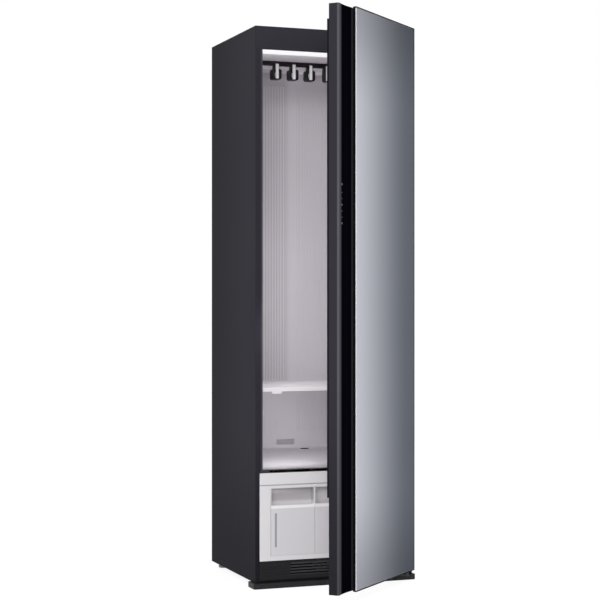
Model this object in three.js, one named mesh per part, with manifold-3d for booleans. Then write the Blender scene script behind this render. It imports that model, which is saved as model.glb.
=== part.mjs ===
// A steam cabinet that freshens clothes: a steel case with a light plastic chamber, a hanger bar
// that shakes, two water tanks and a filter below, a small heat pump behind them, and a mirror door.
// Millimetres, +Z up. The front faces -Y, x = 0 is the middle of the case, z = 0 is the floor,
// and y = 0 is the front plane of the case. The door stands ajar on its hinge on the right.
import * as THREE from "three";
import { mergeVertices } from "three/addons/utils/BufferGeometryUtils.js";
import Module from "manifold-3d";

const wasm = await Module();
wasm.setup();

// General: the gap between pieces that touch, the gap round a turning shaft, and how far a
// cutting shape runs past what it cuts
const fit = 0.3;
const runningFit = 0.1;
const overrun = 8;

// Case of folded steel sheet
const caseWidth = 590;
const caseDepth = 510;
const caseBottom = 20;
const caseTop = 1942;
const sheet = 1;
const sideReturn = 20;
const fasciaHeight = 80;
const fasciaThickness = 1.5;

// Base plate, pan and levelling feet
const plateOverhang = 9;
const plateForward = 12;
const plateDepth = 64;
const plateCornerRadius = 8;
const panHeight = 24;
const panWall = 1.5;
const footRadius = 18;
const footHeight = 8;
const footStemRadius = 5;
const footStemRise = 14;
const footInset = 35;

// Chamber: walls of the light tub and what is moulded on them
const sideWall = 26.5;
const openingBottom = 410;
const rearSpace = 50;
const linerWall = 2.5;
const floorRise = 27;
const coveRadius = 12;
const ribPitch = 11;
const ribWidth = 5;
const ribHeight = 1.5;
const ribInnerEdge = 15;
const ribSideGap = 7;
const ribBottomGap = 90;
const ribTopGap = 62;
const ledgeReach = 10;
const ledgeHeight = 11;
const ledgeFrontGap = 20;
const ledgeRearGap = 20;
const foamThickness = 8;
const foamBottomGap = 60;

// Dark trim round the opening, with the air intake slot under the chamber floor
const frameDepth = 3.4;
const frameRail = 12;
const intakeSlotEndGap = 25.5;
const intakeSlotHeight = 9;

// Light strip in the ceiling
const lightSetback = 6;
const lightDepth = 78;
const lightThickness = 3.2;
const lightSideGap = 6;
const lightChamfer = 2;

// Air outlet and steam outlet
const ventWidth = 70;
const ventHeight = 18;
const ventCentre = -20;
const ventRise = 43;
const ventLip = 1.5;
const ventSlatCount = 5;
const ventSlatThickness = 2;
const nozzleWidth = 27;
const nozzleDepth = 11;
const nozzleCentre = 46;
const nozzleSetback = 29;
const nozzleFlange = 1.6;
const nozzleMouth = 3;

// Shelf
const shelfHeight = 14;
const shelfTopLevel = 693;
const shelfPlate = 3;
const shelfRim = 3;
const shelfSideGap = 2.5;
const shelfFrontGap = 6;
const shelfRearGap = 54;
const shelfSlotLength = 62;
const shelfSlotWidth = 6;
const shelfSlotEndGap = 80;
const shelfSlotRows = 9;
const shelfSlotColumns = 5;
const shelfTabWidth = 35;
const shelfTabDrop = 8;
const shelfTabInset = 37;
const shelfTabThickness = 3;

// Hanger rail, sliding bar, hooks and their drive
const railSetback = 258;
const railHalfDepth = 12;
const railWall = 3;
const railHeight = 13.7;
const railLip = 2;
const railEndGap = 4;
const barHalfDepth = 8;
const barNeckHalfDepth = 5;
const barHeadHeight = 6;
const barDrop = 2;
const barRunningGap = 0.6;
const barTravel = 15;
const barEndGap = 8;
const hookCount = 5;
const wideHookCount = 3;
const hookPitch = 65;
const hookNeckWidth = 19;
const hookNeckDepth = 23;
const hookNeckHeight = 11.3;
const hookWidth = 36;
const hookDepth = 29;
const hookHeight = 39;
const hookCornerRadius = 8;
const hookWindowWidth = 17;
const narrowWindowWidth = 9;
const hookWindowHeight = 20;
const hookWindowRise = 9;
const hookPlateWidth = 11;
const hookPlateThickness = 3;
const hookPlateRise = 6.3;
const hookPlateFoot = 3.7;
const leverLength = 40;
const leverSwing = 22;
const leverHubRadius = 10;
const leverWidth = 12;
const leverThickness = 6;
const leverPinRadius = 3;
const leverPinPlay = 0.6;
const leverClearance = 1.5;
const driveWidth = 80;
const driveDepth = 84;
const driveHeight = 46;
const driveLegWidth = 8;
const driveLegHeight = 11;
const driveShaftRadius = 4;

// White front of the lower part
const lowerReturn = 15.7;
const lowerThickness = 3;
const kickRise = 8;
const kickHeight = 65.4;
const kickThickness = 3;
const kickSlotHeight = 4.5;
const kickSlotPitch = 10;
const kickSlotCount = 4;
const kickSlotHalf = 165;
const kickGrooveHeight = 1.2;
const kickGrooveDepth = 1;
const kickGrooveWidth = 84;
const kickGrooveInset = 14;
const kickTopBand = 9;
const stripHeight = 43.2;

// Water tanks and their bay
const tankWidth = 161.5;
const tankBetween = 1;
const tankSill = 17.3;
const tankHeadroom = 11.2;
const tankLeftInset = 57;
const tankDepth = 119.5;
const tankWall = 2.2;
const tankReveal = 1;
const tankRecessHeight = 58;
const tankRecessDepth = 34;
const tankRecessEnd = 1.5;
const tankLipThickness = 15;
const tankLipRadius = 7;
const tankPocketDepth = 30;
const tankLidThickness = 4.7;
const tankCapRadius = 17;
const tankCapHeight = 1.2;
const windowInset = 14.5;
const windowWidth = 7;
const windowRise = 29;
const windowHeight = 118;
const bayWall = 1.8;
const bayRearGap = 2;

// Lint filter
const filterWidth = 199;
const filterHeight = 35;
const filterFront = 2.6;
const filterDepth = 128;
const filterRail = 5;
const filterNet = 1.4;
const filterGapsAcross = 8;
const filterGapsDeep = 5;
const filterNetBar = 2.5;
const filterGripWidth = 60;
const filterGripHeight = 9;
const filterGripDepth = 1.4;
const guideWall = 2;

// Back panel, rear cover and mains inlet
const coverInset = 32;
const coverDepth = 25;
const coverWall = 1.5;
const coverBottomGap = 26;
const coverHeight = 356;
const coverFlange = 12;
const coverSlotWidth = 190;
const coverSlotHeight = 6;
const coverSlotPitch = 20;
const coverSlotCount = 9;
const glandRadius = 9;
const glandCollar = 13;
const glandLength = 26;
const glandBore = 4.5;
const glandInset = 90;
const glandRise = 26;

// Machine shelf and what stands on it
const machineShelfLevel = 162;
const machineSheet = 2;
const machineShelfPumpGap = 2;
const machineShelfRightGap = 8;
const machineShelfFront = 150;
const machineShelfRearGap = 12;
const coilHalfWidth = 95;
const coilFinCount = 11;
const coilFinThickness = 1;
const coilDepth = 40;
const coilHeight = 150;
const coilTubeRadius = 4.5;
const coilTubeRows = 2;
const coilTubeReach = 9;
const coilSetback = 20;
const coilBetween = 30;
const fanRadius = 60;
const fanWall = 2.5;
const fanRise = 98;
const fanDuctDepth = 37;
const fanInletRadius = 34;
const fanFootDepth = 60;
const wheelRadius = 45;
const wheelWidth = 50;
const wheelBladeCount = 18;
const wheelBladeDepth = 9;
const wheelBladeThickness = 1.6;
const wheelDisc = 2.5;
const wheelHubRadius = 9;
const motorShaftRadius = 4;
const motorRadius = 29;
const motorLength = 44;
const motorBossRadius = 12;
const boxWidth = 112;
const boxDepth = 130;
const boxHeight = 120;
const boxWall = 2.5;

// Compressor, boiler, steam pipe and pumps on the pan
const compressorRadius = 60;
const compressorHeight = 176;
const compressorWall = 7;
const compressorInset = 94;
const compressorRearGap = 60;
const compressorFootWidth = 136;
const compressorFootThickness = 4;
const compressorStudRadius = 11;
const compressorStudHeight = 20;
const portRadius = 5;
const boilerWidth = 130;
const boilerDepth = 90;
const boilerHeight = 66;
const boilerWall = 4;
const boilerCorner = 16;
const boilerLegHeight = 22;
const boilerLegRadius = 7;
const boilerSideGap = 105;
const boilerY = 235;
const boilerSpoutRadius = 8;
const boilerSpoutHeight = 14;
const steamPipeRadius = 5;
// How far up and how far along each point of the steam pipe's run lies
const steamPipeShares = [
  [0, 0],
  [0.12, 0],
  [0.3, 0],
  [0.5, 0.12],
  [0.7, 0.5],
  [0.88, 1],
  [1, 1],
];
const steamHoleRadius = 9;
const pumpRadius = 20;
const pumpLength = 58;
const pumpFootWidth = 30;
const pumpFootHeight = 8;
const pumpSpoutRadius = 5;
const pumpSpoutLength = 32;
const pumpSetback = 178;

// Door: shell, inner panel, seal, mirror and handle strip, all drawn closed
const doorGap = 8.3;
const shellDepth = 36;
const shellWall = 1;
const doorOverhang = 5;
const shellAboveCase = 15.5;
const shellAboveBase = 20;
const shellEdgeChamfer = 1;
const shellEdgeRound = 7;
const mirrorFrameDepth = 8.4;
const mirrorFrameRing = 16;
const mirrorFrameSkin = 2;
const glassThickness = 4;
const glassInset = 4.5;
const mirrorOver = 4;
const stripWidth = 108;
const stripLeftLip = 8;
const stripSag = 3.8;
const stripRecess = 5.7;
const doorPanelThickness = 2.5;
const doorPanelStand = 6.5;
const doorPanelSealGap = 3.5;
const doorPanelEndGap = 15;
const sealWidth = 14;
const sealHeight = 8;
const sealBaseHeight = 4.4;
const sealLipWidth = 8;
const sealEdgeGap = 3.2;
const panelHingeGap = 23;
const sealBelowOpening = 56;
const sealAboveOpening = 47;
const doorOpening = 42.64;

// Hinge on the right, a pin at the top and one at the bottom
const hingeInset = 40;
const hingeForward = 44.1;
const hingePinRadius = 3.5;
const hingeEndPlay = 0.5;
const hingeEndRadius = 7;
const hingeSweepGap = 2;
const hingePinLength = 30;
const hingeArmThickness = 4;
const hingeArmSlant = 30;
const hingeArmFlare = 16;
const hingeArmWidth = 34;
const hingeArmSeat = 62;
const hingeNotchGap = 1.3;
const hingeNotchReach = 54;
const hingeBlock = 28;
const hingeBlockCap = 6;
const bottomArmThickness = 6;
const bottomArmSeatGap = 1;

// Smoothness of round shapes
const fineSteps = 36;
const roundSteps = 24;
const smallSteps = 12;
const tubeSides = 8;
const tubeSteps = 26;
const cornerSteps = 3;
const bendSteps = 6;

// Places worked out from the sizes above
const halfCase = caseWidth / 2;
const innerHalf = halfCase - sheet - fit;
const halfOpening = halfCase - sideWall;
const openingTop = caseTop - fasciaHeight;
const backRear = caseDepth - sheet - fit;
const backFront = backRear - sheet;
const topUnder = caseTop - sheet - fit;
const linerFront = frameDepth + fit;
const chamberDepth = caseDepth - rearSpace;
const linerOuterHalf = halfOpening + linerWall;
const frameBottom = openingBottom - frameRail;
const stripTop = frameBottom - fit;
const stripBottom = stripTop - stripHeight;
const panelTop = stripBottom - fit;
const kickBottom = caseBottom + kickRise;
const kickTop = kickBottom + kickHeight;
const panelBottom = kickTop + fit;
const lowerHalf = halfCase - lowerReturn;
const panFront = kickThickness + fit;
const panFloor = caseBottom + panWall;
const tankBottom = panelBottom + tankSill;
const tankTop = panelTop - tankHeadroom;
const tankLeft = -halfCase + tankLeftInset;
const secondTankLeft = tankLeft + tankWidth + tankBetween;
const tanksRight = secondTankLeft + tankWidth;
const supplyPumpX = tankLeft + tankWidth / 2;
const drainPumpX = secondTankLeft + tankWidth / 2;
const tankFront = fit;
const tankLidBottom = tankTop - tankLidThickness;
const bayFront = lowerThickness + fit;
const filterBottom = stripBottom + (stripHeight - filterHeight) / 2;
const filterTop = filterBottom + filterHeight;
const shelfBottom = shelfTopLevel - shelfHeight;
const shelfRear = chamberDepth - shelfRearGap;
const railTop = openingTop - fit;
const railBottom = railTop - railHeight;
const barHeadBottom = railBottom + railLip + barRunningGap;
const barHeadTop = barHeadBottom + barHeadHeight;
const barBottom = railBottom - barDrop;
const hookTop = barBottom - fit;
const hookBlockTop = hookTop - hookNeckHeight;
const hookBottom = hookBlockTop - hookHeight;
const leverShaftY = railSetback + leverLength;
const leverBottom = openingTop + linerWall + leverClearance;
const driveBase = openingTop + linerWall + fit;
const machineTop = machineShelfLevel;
const fanCentreY = chamberDepth - fanRadius / 2;
const fanCentreZ = machineTop + fanRise;
const ventBottom = openingBottom + ventRise;
const ventTop = ventBottom + ventHeight;
const ventLeft = ventCentre - ventWidth / 2;
const ventRight = ventCentre + ventWidth / 2;
const nozzleY = chamberDepth - nozzleSetback;
const boilerX = halfCase - boilerSideGap;
const hingeX = halfCase - hingeInset;
const doorLeft = -halfCase - doorOverhang;
const doorRight = halfCase;
const doorInner = -doorGap;
const shellFace = doorInner - shellDepth;
const frameBack = shellFace - fit;
const frameFace = frameBack - mirrorFrameDepth;
const glassBack = frameFace - fit;
const glassFace = glassBack - glassThickness;
const shellBottom = caseBottom + shellAboveBase;
const shellTop = caseTop + shellAboveCase;
const mirrorBottom = shellBottom - mirrorOver;
const mirrorTop = shellTop + mirrorOver;
const mirrorLeft = doorLeft + stripWidth;
const panelRight = doorRight - panelHingeGap;
const glassRight = doorRight - glassInset;
const glassBottom = mirrorBottom + glassInset;
const glassTop = mirrorTop - glassInset;
const notchLevel = caseTop - hingeNotchGap;

// Turns a closed three.js geometry into a solid that can be cut and joined.
function solidOf(geometry) {
  const loose = geometry.index ? geometry.toNonIndexed() : geometry;
  const bare = new THREE.BufferGeometry();
  bare.setAttribute("position", loose.getAttribute("position"));
  const merged = mergeVertices(bare);
  return new wasm.Manifold(
    new wasm.Mesh({
      numProp: 3,
      vertProperties: merged.getAttribute("position").array,
      triVerts: new Uint32Array(merged.index.array),
    }),
  );
}

// The geometry of a finished solid.
function geometryOf(solid) {
  const { vertProperties, triVerts } = solid.getMesh();
  const geometry = new THREE.BufferGeometry();
  geometry.setAttribute("position", new THREE.BufferAttribute(new Float32Array(vertProperties), 3));
  geometry.setIndex(new THREE.BufferAttribute(new Uint32Array(triVerts), 1));
  geometry.computeVertexNormals();
  return geometry;
}

const join = (first, ...rest) => rest.reduce((all, next) => all.add(next), first);
const cut = (first, ...rest) => rest.reduce((all, next) => all.subtract(next), first);
const count = (n) => Array.from({ length: n }, (_, i) => i);

// A block between two corners.
function block([x0, x1], [y0, y1], [z0, z1]) {
  const geometry = new THREE.BoxGeometry(x1 - x0, y1 - y0, z1 - z0);
  geometry.translate((x0 + x1) / 2, (y0 + y1) / 2, (z0 + z1) / 2);
  return solidOf(geometry);
}

const alongX = new THREE.Matrix4().makeBasis(
  new THREE.Vector3(0, 1, 0),
  new THREE.Vector3(0, 0, 1),
  new THREE.Vector3(1, 0, 0),
);
const alongY = new THREE.Matrix4().makeBasis(
  new THREE.Vector3(1, 0, 0),
  new THREE.Vector3(0, 0, 1),
  new THREE.Vector3(0, -1, 0),
);

function outline(points) {
  return new THREE.Shape(points.map(([u, v]) => new THREE.Vector2(u, v)));
}

function extruded(shape, depth, curveSegments) {
  return new THREE.ExtrudeGeometry(shape, { depth, bevelEnabled: false, curveSegments });
}

// A plan outline (x, y) raised from z0 to z1.
function raised(shape, [z0, z1], steps = cornerSteps) {
  return solidOf(extruded(shape, z1 - z0, steps).translate(0, 0, z0));
}

// A side outline (y, z) run from x0 to x1.
function runAcross(shape, [x0, x1], steps = cornerSteps) {
  return solidOf(extruded(shape, x1 - x0, steps).applyMatrix4(alongX).translate(x0, 0, 0));
}

// A front outline (x, z) run from y0 to y1.
function runBack(shape, [y0, y1], steps = cornerSteps) {
  return solidOf(extruded(shape, y1 - y0, steps).applyMatrix4(alongY).translate(0, y1, 0));
}

// An upright round bar.
function post(radius, [x, y], [z0, z1], steps = roundSteps) {
  const geometry = new THREE.CylinderGeometry(radius, radius, z1 - z0, steps);
  return solidOf(geometry.rotateX(Math.PI / 2).translate(x, y, (z0 + z1) / 2));
}

// A round bar along x.
function axle(radius, [x0, x1], [y, z], steps = roundSteps) {
  const geometry = new THREE.CylinderGeometry(radius, radius, x1 - x0, steps);
  return solidOf(geometry.rotateZ(-Math.PI / 2).translate((x0 + x1) / 2, y, z));
}

// A round bar along y.
function spigot(radius, [x, z], [y0, y1], steps = roundSteps) {
  const geometry = new THREE.CylinderGeometry(radius, radius, y1 - y0, steps);
  return solidOf(geometry.translate(x, (y0 + y1) / 2, z));
}

// A turned shape standing at a place: points are (radius, height) from the axis and back to it.
function turned(points, [x, y, z], steps = roundSteps) {
  const profile = points.map(([r, h]) => new THREE.Vector2(r, h));
  const geometry = new THREE.LatheGeometry(profile, steps);
  return solidOf(geometry.rotateX(Math.PI / 2).translate(x, y, z));
}

// A rectangle with round corners, for any of the three outlines.
function roundedRectangle([u0, u1], [v0, v1], radius) {
  const shape = new THREE.Shape();
  shape.moveTo(u0 + radius, v0);
  shape.lineTo(u1 - radius, v0);
  shape.absarc(u1 - radius, v0 + radius, radius, -Math.PI / 2, 0);
  shape.lineTo(u1, v1 - radius);
  shape.absarc(u1 - radius, v1 - radius, radius, 0, Math.PI / 2);
  shape.lineTo(u0 + radius, v1);
  shape.absarc(u0 + radius, v1 - radius, radius, Math.PI / 2, Math.PI);
  shape.lineTo(u0, v0 + radius);
  shape.absarc(u0 + radius, v0 + radius, radius, Math.PI, 1.5 * Math.PI);
  return shape;
}

// Both signs of a distance from the middle.
const both = (half) => [-half, half];

// A folded steel side: the skin, a return at the front and one at the back. The front return is
// shorter beside the lower front and leaves room for the fascia at the top.
function sidePanel(side) {
  const across = (inner, outer) => [side * inner, side * outer].sort((a, b) => a - b);
  const edge = halfCase - sideReturn;
  const fold = outline(
    [
      [halfCase, 0],
      [halfCase, caseDepth],
      [edge, caseDepth],
      [edge, caseDepth - sheet],
      [halfCase - sheet, caseDepth - sheet],
      [halfCase - sheet, sheet],
      [edge, sheet],
      [edge, 0],
    ].map(([x, y]) => [side * x, y]),
  );
  const frontCut = [-overrun, sheet + fit];
  return cut(
    raised(fold, [caseBottom, caseTop]),
    block(across(edge - overrun, halfCase - sheet), frontCut, [openingTop - fit, caseTop + overrun]),
    block(across(edge - overrun, lowerHalf + fit), frontCut, [kickBottom - fit, frameBottom]),
  );
}

// The dark band over the chamber, with a short return under it.
function fascia() {
  const face = block(both(innerHalf), [0, fasciaThickness], [openingTop, topUnder]);
  const under = block(both(innerHalf), [0, frameDepth], [openingTop, openingTop + fasciaThickness]);
  return join(face, under);
}

function topPanel() {
  return block(both(innerHalf), [0, backRear], [caseTop - sheet, caseTop]);
}

// The rear sheet, open behind the machine space where the rear cover goes.
function backPanel() {
  const half = halfCase - coverInset - coverFlange;
  const low = caseBottom + coverBottomGap + coverFlange;
  const high = caseBottom + coverBottomGap + coverHeight - coverFlange;
  return cut(
    block(both(innerHalf), [backFront, backRear], [caseBottom, topUnder]),
    block(both(half), [backFront - overrun, backRear + overrun], [low, high]),
  );
}

// A pressed cover over the machine space with two columns of air slots and a hole for the inlet.
function rearCover() {
  const half = halfCase - coverInset;
  const low = caseBottom + coverBottomGap;
  const high = low + coverHeight;
  const front = backRear + fit;
  const rear = front + coverDepth;
  const hollow = block(
    both(half - coverWall),
    [front - overrun, rear - coverWall],
    [low + coverWall, high - coverWall],
  );
  const middle = (low + high) / 2;
  const slots = count(coverSlotCount).flatMap((i) => {
    const z = middle + (i - (coverSlotCount - 1) / 2) * coverSlotPitch;
    const height = [z - coverSlotHeight / 2, z + coverSlotHeight / 2];
    const gap = (half - coverSlotWidth) / 2;
    return [-1, 1].map((side) => {
      const across = [side * gap, side * (gap + coverSlotWidth)].sort((a, b) => a - b);
      return block(across, [rear - coverWall - overrun, rear + overrun], height);
    });
  });
  const inlet = spigot(glandRadius + fit, [glandX(), glandZ()], [rear - overrun, rear + overrun]);
  return cut(block(both(half), [front, rear], [low, high]), hollow, ...slots, inlet);
}

const glandX = () => halfCase - glandInset;
const glandZ = () => caseBottom + coverBottomGap + glandRise;

// The mains inlet: a bushing with a collar outside the rear cover and a bore for the lead.
function powerGland() {
  const rear = backRear + fit + coverDepth;
  const place = [glandX(), glandZ()];
  const collar = glandLength / 3;
  return cut(
    join(
      spigot(glandRadius, place, [rear - glandLength / 2, rear + glandLength / 2]),
      spigot(glandCollar, place, [rear + fit, rear + fit + collar]),
    ),
    spigot(glandBore, place, [rear - glandLength, rear + glandLength]),
  );
}

const footPlaces = () => {
  const x = halfCase - footInset;
  const front = plateDepth - plateForward + footRadius + 2 * fit;
  const rear = caseDepth - footInset;
  return {
    front_left: [-x, front],
    front_right: [x, front],
    rear_left: [-x, rear],
    rear_right: [x, rear],
  };
};

// The bottom tray that carries the machine, with a hole for each foot's stem.
function basePan() {
  const [front, rear] = [panFront, backFront - fit];
  const body = block(both(innerHalf), [front, rear], [caseBottom, caseBottom + panHeight]);
  const hollow = block(
    both(innerHalf - panWall),
    [front + panWall, rear - panWall],
    [panFloor, caseBottom + panHeight + overrun],
  );
  const holes = Object.values(footPlaces()).map((place) =>
    post(footStemRadius + fit, place, [0, caseBottom + panHeight], smallSteps),
  );
  return cut(body, hollow, ...holes);
}

// A levelling foot: a round pad on a threaded stem.
function foot([x, y]) {
  const top = caseBottom + footStemRise;
  const shoulder = (footHeight + caseBottom) / 2;
  const points = [
    [0, 0],
    [footRadius, 0],
    [footRadius, footHeight],
    [footStemRadius + (footRadius - footStemRadius) / 3, shoulder],
    [footStemRadius, shoulder],
    [footStemRadius, top],
    [0, top],
  ];
  return turned(points, [x, y, 0], smallSteps);
}

// The black plate under the front edge, a little wider than the case.
function basePlate() {
  const half = halfCase + plateOverhang;
  const rear = plateDepth - plateForward;
  const radius = plateCornerRadius;
  const [bendX, bendY] = [half - radius, -plateForward + radius];
  const shape = new THREE.Shape();
  shape.moveTo(-bendX, -plateForward);
  shape.lineTo(bendX, -plateForward);
  shape.absarc(bendX, bendY, radius, -Math.PI / 2, 0);
  shape.lineTo(half, rear);
  shape.lineTo(-half, rear);
  shape.lineTo(-half, bendY);
  shape.absarc(-bendX, bendY, radius, Math.PI, 1.5 * Math.PI);
  return raised(shape, [0, caseBottom - fit], bendSteps);
}

// The dark trim: a post on each side and a rail below with the air intake slot.
function frontFrame() {
  const outer = halfCase - sideReturn - fit;
  const ring = block(both(outer), [0, frameDepth], [frameBottom, openingTop - fit]);
  const opening = block(both(halfOpening), [-overrun, frameDepth + overrun], [openingBottom, caseTop]);
  const middle = (frameBottom + openingBottom) / 2;
  const slot = block(
    both(halfOpening - intakeSlotEndGap),
    [-overrun, frameDepth + overrun],
    [middle - intakeSlotHeight / 2, middle + intakeSlotHeight / 2],
  );
  return cut(ring, opening, slot);
}

// The side outline of the chamber, grown by the wall for its outside.
function chamberSide(grow, front) {
  const rear = chamberDepth + grow;
  const cove = coveRadius + grow;
  const bend = [chamberDepth - coveRadius, openingBottom + floorRise + coveRadius];
  const shape = new THREE.Shape();
  shape.moveTo(front, openingBottom - grow);
  shape.lineTo(bend[0], openingBottom + floorRise - grow);
  shape.absarc(bend[0], bend[1], cove, -Math.PI / 2, 0);
  shape.lineTo(rear, openingTop + grow);
  shape.lineTo(front, openingTop + grow);
  return shape;
}

// Upright ribs on both sides of the rear wall.
function chamberRibs() {
  const outer = halfOpening - ribSideGap;
  const number = Math.floor((outer - ribInnerEdge) / ribPitch);
  const depth = [chamberDepth - ribHeight, chamberDepth + linerWall / 2];
  const height = [openingBottom + ribBottomGap, openingTop - ribTopGap];
  return count(number).flatMap((i) => {
    const x = outer - i * ribPitch;
    return [-1, 1].map((side) => {
      const across = [side * (x - ribWidth), side * x].sort((a, b) => a - b);
      return block(across, depth, height);
    });
  });
}

// Where the pin of the drive lever passes through the ceiling and the rail.
function leverSlot() {
  const half = barTravel + leverPinRadius + leverClearance;
  const rise = leverLength * (1 - Math.cos(THREE.MathUtils.degToRad(leverSwing)));
  const play = leverPinRadius + leverClearance;
  return block(both(half), [railSetback - play, railSetback + rise + play], [barHeadTop, leverBottom]);
}

function nozzleHole(grow) {
  const half = nozzleWidth / 2 + grow;
  return block(
    [nozzleCentre - half, nozzleCentre + half],
    [nozzleY - nozzleDepth / 2 - grow, nozzleY + nozzleDepth / 2 + grow],
    [openingBottom, openingBottom + floorRise + coveRadius],
  );
}

// The light moulded tub: floor that rises to the back, cove, rear wall, ceiling and sides, with
// ledges for the shelf, ribs, and openings for the air, the steam and the drive lever.
function chamberLiner() {
  const shell = cut(
    runAcross(chamberSide(linerWall, linerFront), both(linerOuterHalf), bendSteps),
    runAcross(chamberSide(0, linerFront - overrun), both(halfOpening), bendSteps),
  );
  const ledgeTop = shelfBottom - fit;
  const ledges = [-1, 1].map((side) => {
    const across = [side * (halfOpening - ledgeReach), side * (halfOpening + linerWall / 2)];
    return block(
      across.sort((a, b) => a - b),
      [linerFront + ledgeFrontGap, chamberDepth - ledgeRearGap],
      [ledgeTop - ledgeHeight, ledgeTop],
    );
  });
  const vent = block(
    [ventLeft, ventRight],
    [chamberDepth - overrun, chamberDepth + overrun],
    [ventBottom, ventTop],
  );
  return cut(join(shell, ...ledges, ...chamberRibs()), vent, nozzleHole(0), leverSlot());
}

// The insulating jacket round the sides, the back and the top of the tub.
function foamJacket() {
  const rear = chamberDepth + linerWall + fit;
  const top = openingTop + linerWall + fit;
  const inner = linerOuterHalf + fit;
  const front = linerFront;
  const body = block(
    both(inner + foamThickness),
    [front, rear + foamThickness],
    [openingBottom + foamBottomGap, top + foamThickness],
  );
  const pocket = block(
    both(driveWidth / 2 + leverClearance),
    both(driveDepth / 2 + leverClearance).map((y) => y + leverShaftY),
    [openingTop, caseTop],
  );
  const leverRoom = block(
    both(barTravel + leverHubRadius),
    [railSetback - leverWidth, leverShaftY],
    [openingTop, caseTop],
  );
  const duct = block(
    [ventLeft - fanWall - leverClearance, ventRight + fanWall + leverClearance],
    [rear - overrun, caseDepth],
    [openingBottom, ventTop + fanWall + 2 * leverClearance],
  );
  return cut(body, block(both(inner), [front - overrun, rear], [0, top]), pocket, leverRoom, duct);
}

// A flat diffuser under the front of the ceiling.
function lightDiffuser() {
  const front = linerFront + lightSetback;
  const rear = front + lightDepth;
  const top = openingTop - fit;
  const low = top - lightThickness;
  const side = outline([
    [front, top],
    [front, low + lightChamfer],
    [front + lightChamfer, low],
    [rear - lightChamfer, low],
    [rear, low + lightChamfer],
    [rear, top],
  ]);
  return runAcross(side, both(halfOpening - lightSideGap));
}

// The slatted frame in the air outlet of the rear wall.
function airGrille() {
  const lip = ventLip;
  const face = chamberDepth - fit;
  const flange = block(
    [ventLeft - lip, ventRight + lip],
    [face - lip, face],
    [ventBottom - lip, ventTop + lip],
  );
  const sleeve = block(
    [ventLeft + fit, ventRight - fit],
    [face - lip, chamberDepth + linerWall],
    [ventBottom + fit, ventTop - fit],
  );
  const bore = block(
    [ventLeft + lip, ventRight - lip],
    [face - overrun, chamberDepth + overrun],
    [ventBottom + lip, ventTop - lip],
  );
  const rise = (ventHeight - 2 * lip) / (ventSlatCount + 1);
  const slats = count(ventSlatCount).map((i) => {
    const z = ventBottom + lip + (i + 1) * rise;
    return block(
      [ventLeft + lip / 2, ventRight - lip / 2],
      [face - lip / 2, chamberDepth + linerWall],
      both(ventSlatThickness / 2).map((d) => d + z),
    );
  });
  return join(cut(join(flange, sleeve), bore), ...slats);
}

// The height of the sloping chamber floor at a depth.
function floorAt(y) {
  const slope = floorRise / (chamberDepth - coveRadius - linerFront);
  return openingBottom + slope * (y - linerFront);
}

// The dark steam outlet set in the back of the floor, open along its middle.
function steamNozzle() {
  const top = floorAt(nozzleY + nozzleDepth / 2 + nozzleFlange) + fit;
  const half = nozzleWidth / 2;
  const deep = nozzleDepth / 2;
  const flange = block(
    [nozzleCentre - half - nozzleFlange, nozzleCentre + half + nozzleFlange],
    [nozzleY - deep - nozzleFlange, nozzleY + deep + nozzleFlange],
    [top, top + nozzleFlange],
  );
  const body = block(
    [nozzleCentre - half + fit, nozzleCentre + half - fit],
    [nozzleY - deep + fit, nozzleY + deep - fit],
    [top - 2 * nozzleDepth, top + nozzleFlange],
  );
  const mouth = block(
    both(half - nozzleMouth).map((x) => x + nozzleCentre),
    both(nozzleMouth / 2).map((y) => y + nozzleY),
    [top - 2 * nozzleDepth + nozzleFlange, top + overrun],
  );
  return cut(join(flange, body), mouth);
}

// The white shelf: a slotted plate with a rim, and a small tab under its front edge.
function shelf() {
  const half = halfOpening - shelfSideGap;
  const [front, rear] = [shelfFrontGap, shelfRear];
  const body = cut(
    block(both(half), [front, rear], [shelfBottom, shelfTopLevel]),
    block(
      both(half - shelfRim),
      [front + shelfRim, rear - shelfRim],
      [shelfBottom - overrun, shelfTopLevel - shelfPlate],
    ),
  );
  const middle = (front + rear) / 2;
  const columnPitch = (2 * half) / shelfSlotColumns;
  const rowPitch = (rear - front - 2 * shelfSlotEndGap) / (shelfSlotRows - 1);
  const slots = count(shelfSlotColumns).flatMap((i) =>
    count(shelfSlotRows).map((j) => {
      const x = (i - (shelfSlotColumns - 1) / 2) * columnPitch;
      const y = middle + (j - (shelfSlotRows - 1) / 2) * rowPitch;
      return block(
        both(shelfSlotLength / 2).map((d) => d + x),
        both(shelfSlotWidth / 2).map((d) => d + y),
        [shelfTopLevel - shelfPlate - overrun, shelfTopLevel + overrun],
      );
    }),
  );
  const tabLeft = -halfOpening + shelfTabInset;
  const tab = block(
    [tabLeft, tabLeft + shelfTabWidth],
    [front, front + shelfTabThickness],
    [shelfBottom - shelfTabDrop, shelfTopLevel - shelfPlate],
  );
  return join(cut(body, ...slots), tab);
}

// The fixed black rail under the ceiling: a channel whose two lips carry the sliding bar.
function hangerRail() {
  const half = halfOpening - railEndGap;
  const y = [railSetback - railHalfDepth, railSetback + railHalfDepth];
  const body = block(both(half), y, [railBottom, railTop]);
  const inside = block(
    both(half + overrun),
    [y[0] + railWall, y[1] - railWall],
    [railBottom + railLip, railTop - railWall],
  );
  const mouth = barNeckHalfDepth + 2 * barRunningGap;
  const slot = block(
    both(half + overrun),
    both(mouth).map((d) => d + railSetback),
    [railBottom - overrun, barHeadTop],
  );
  return cut(body, inside, slot, leverSlot());
}

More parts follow.
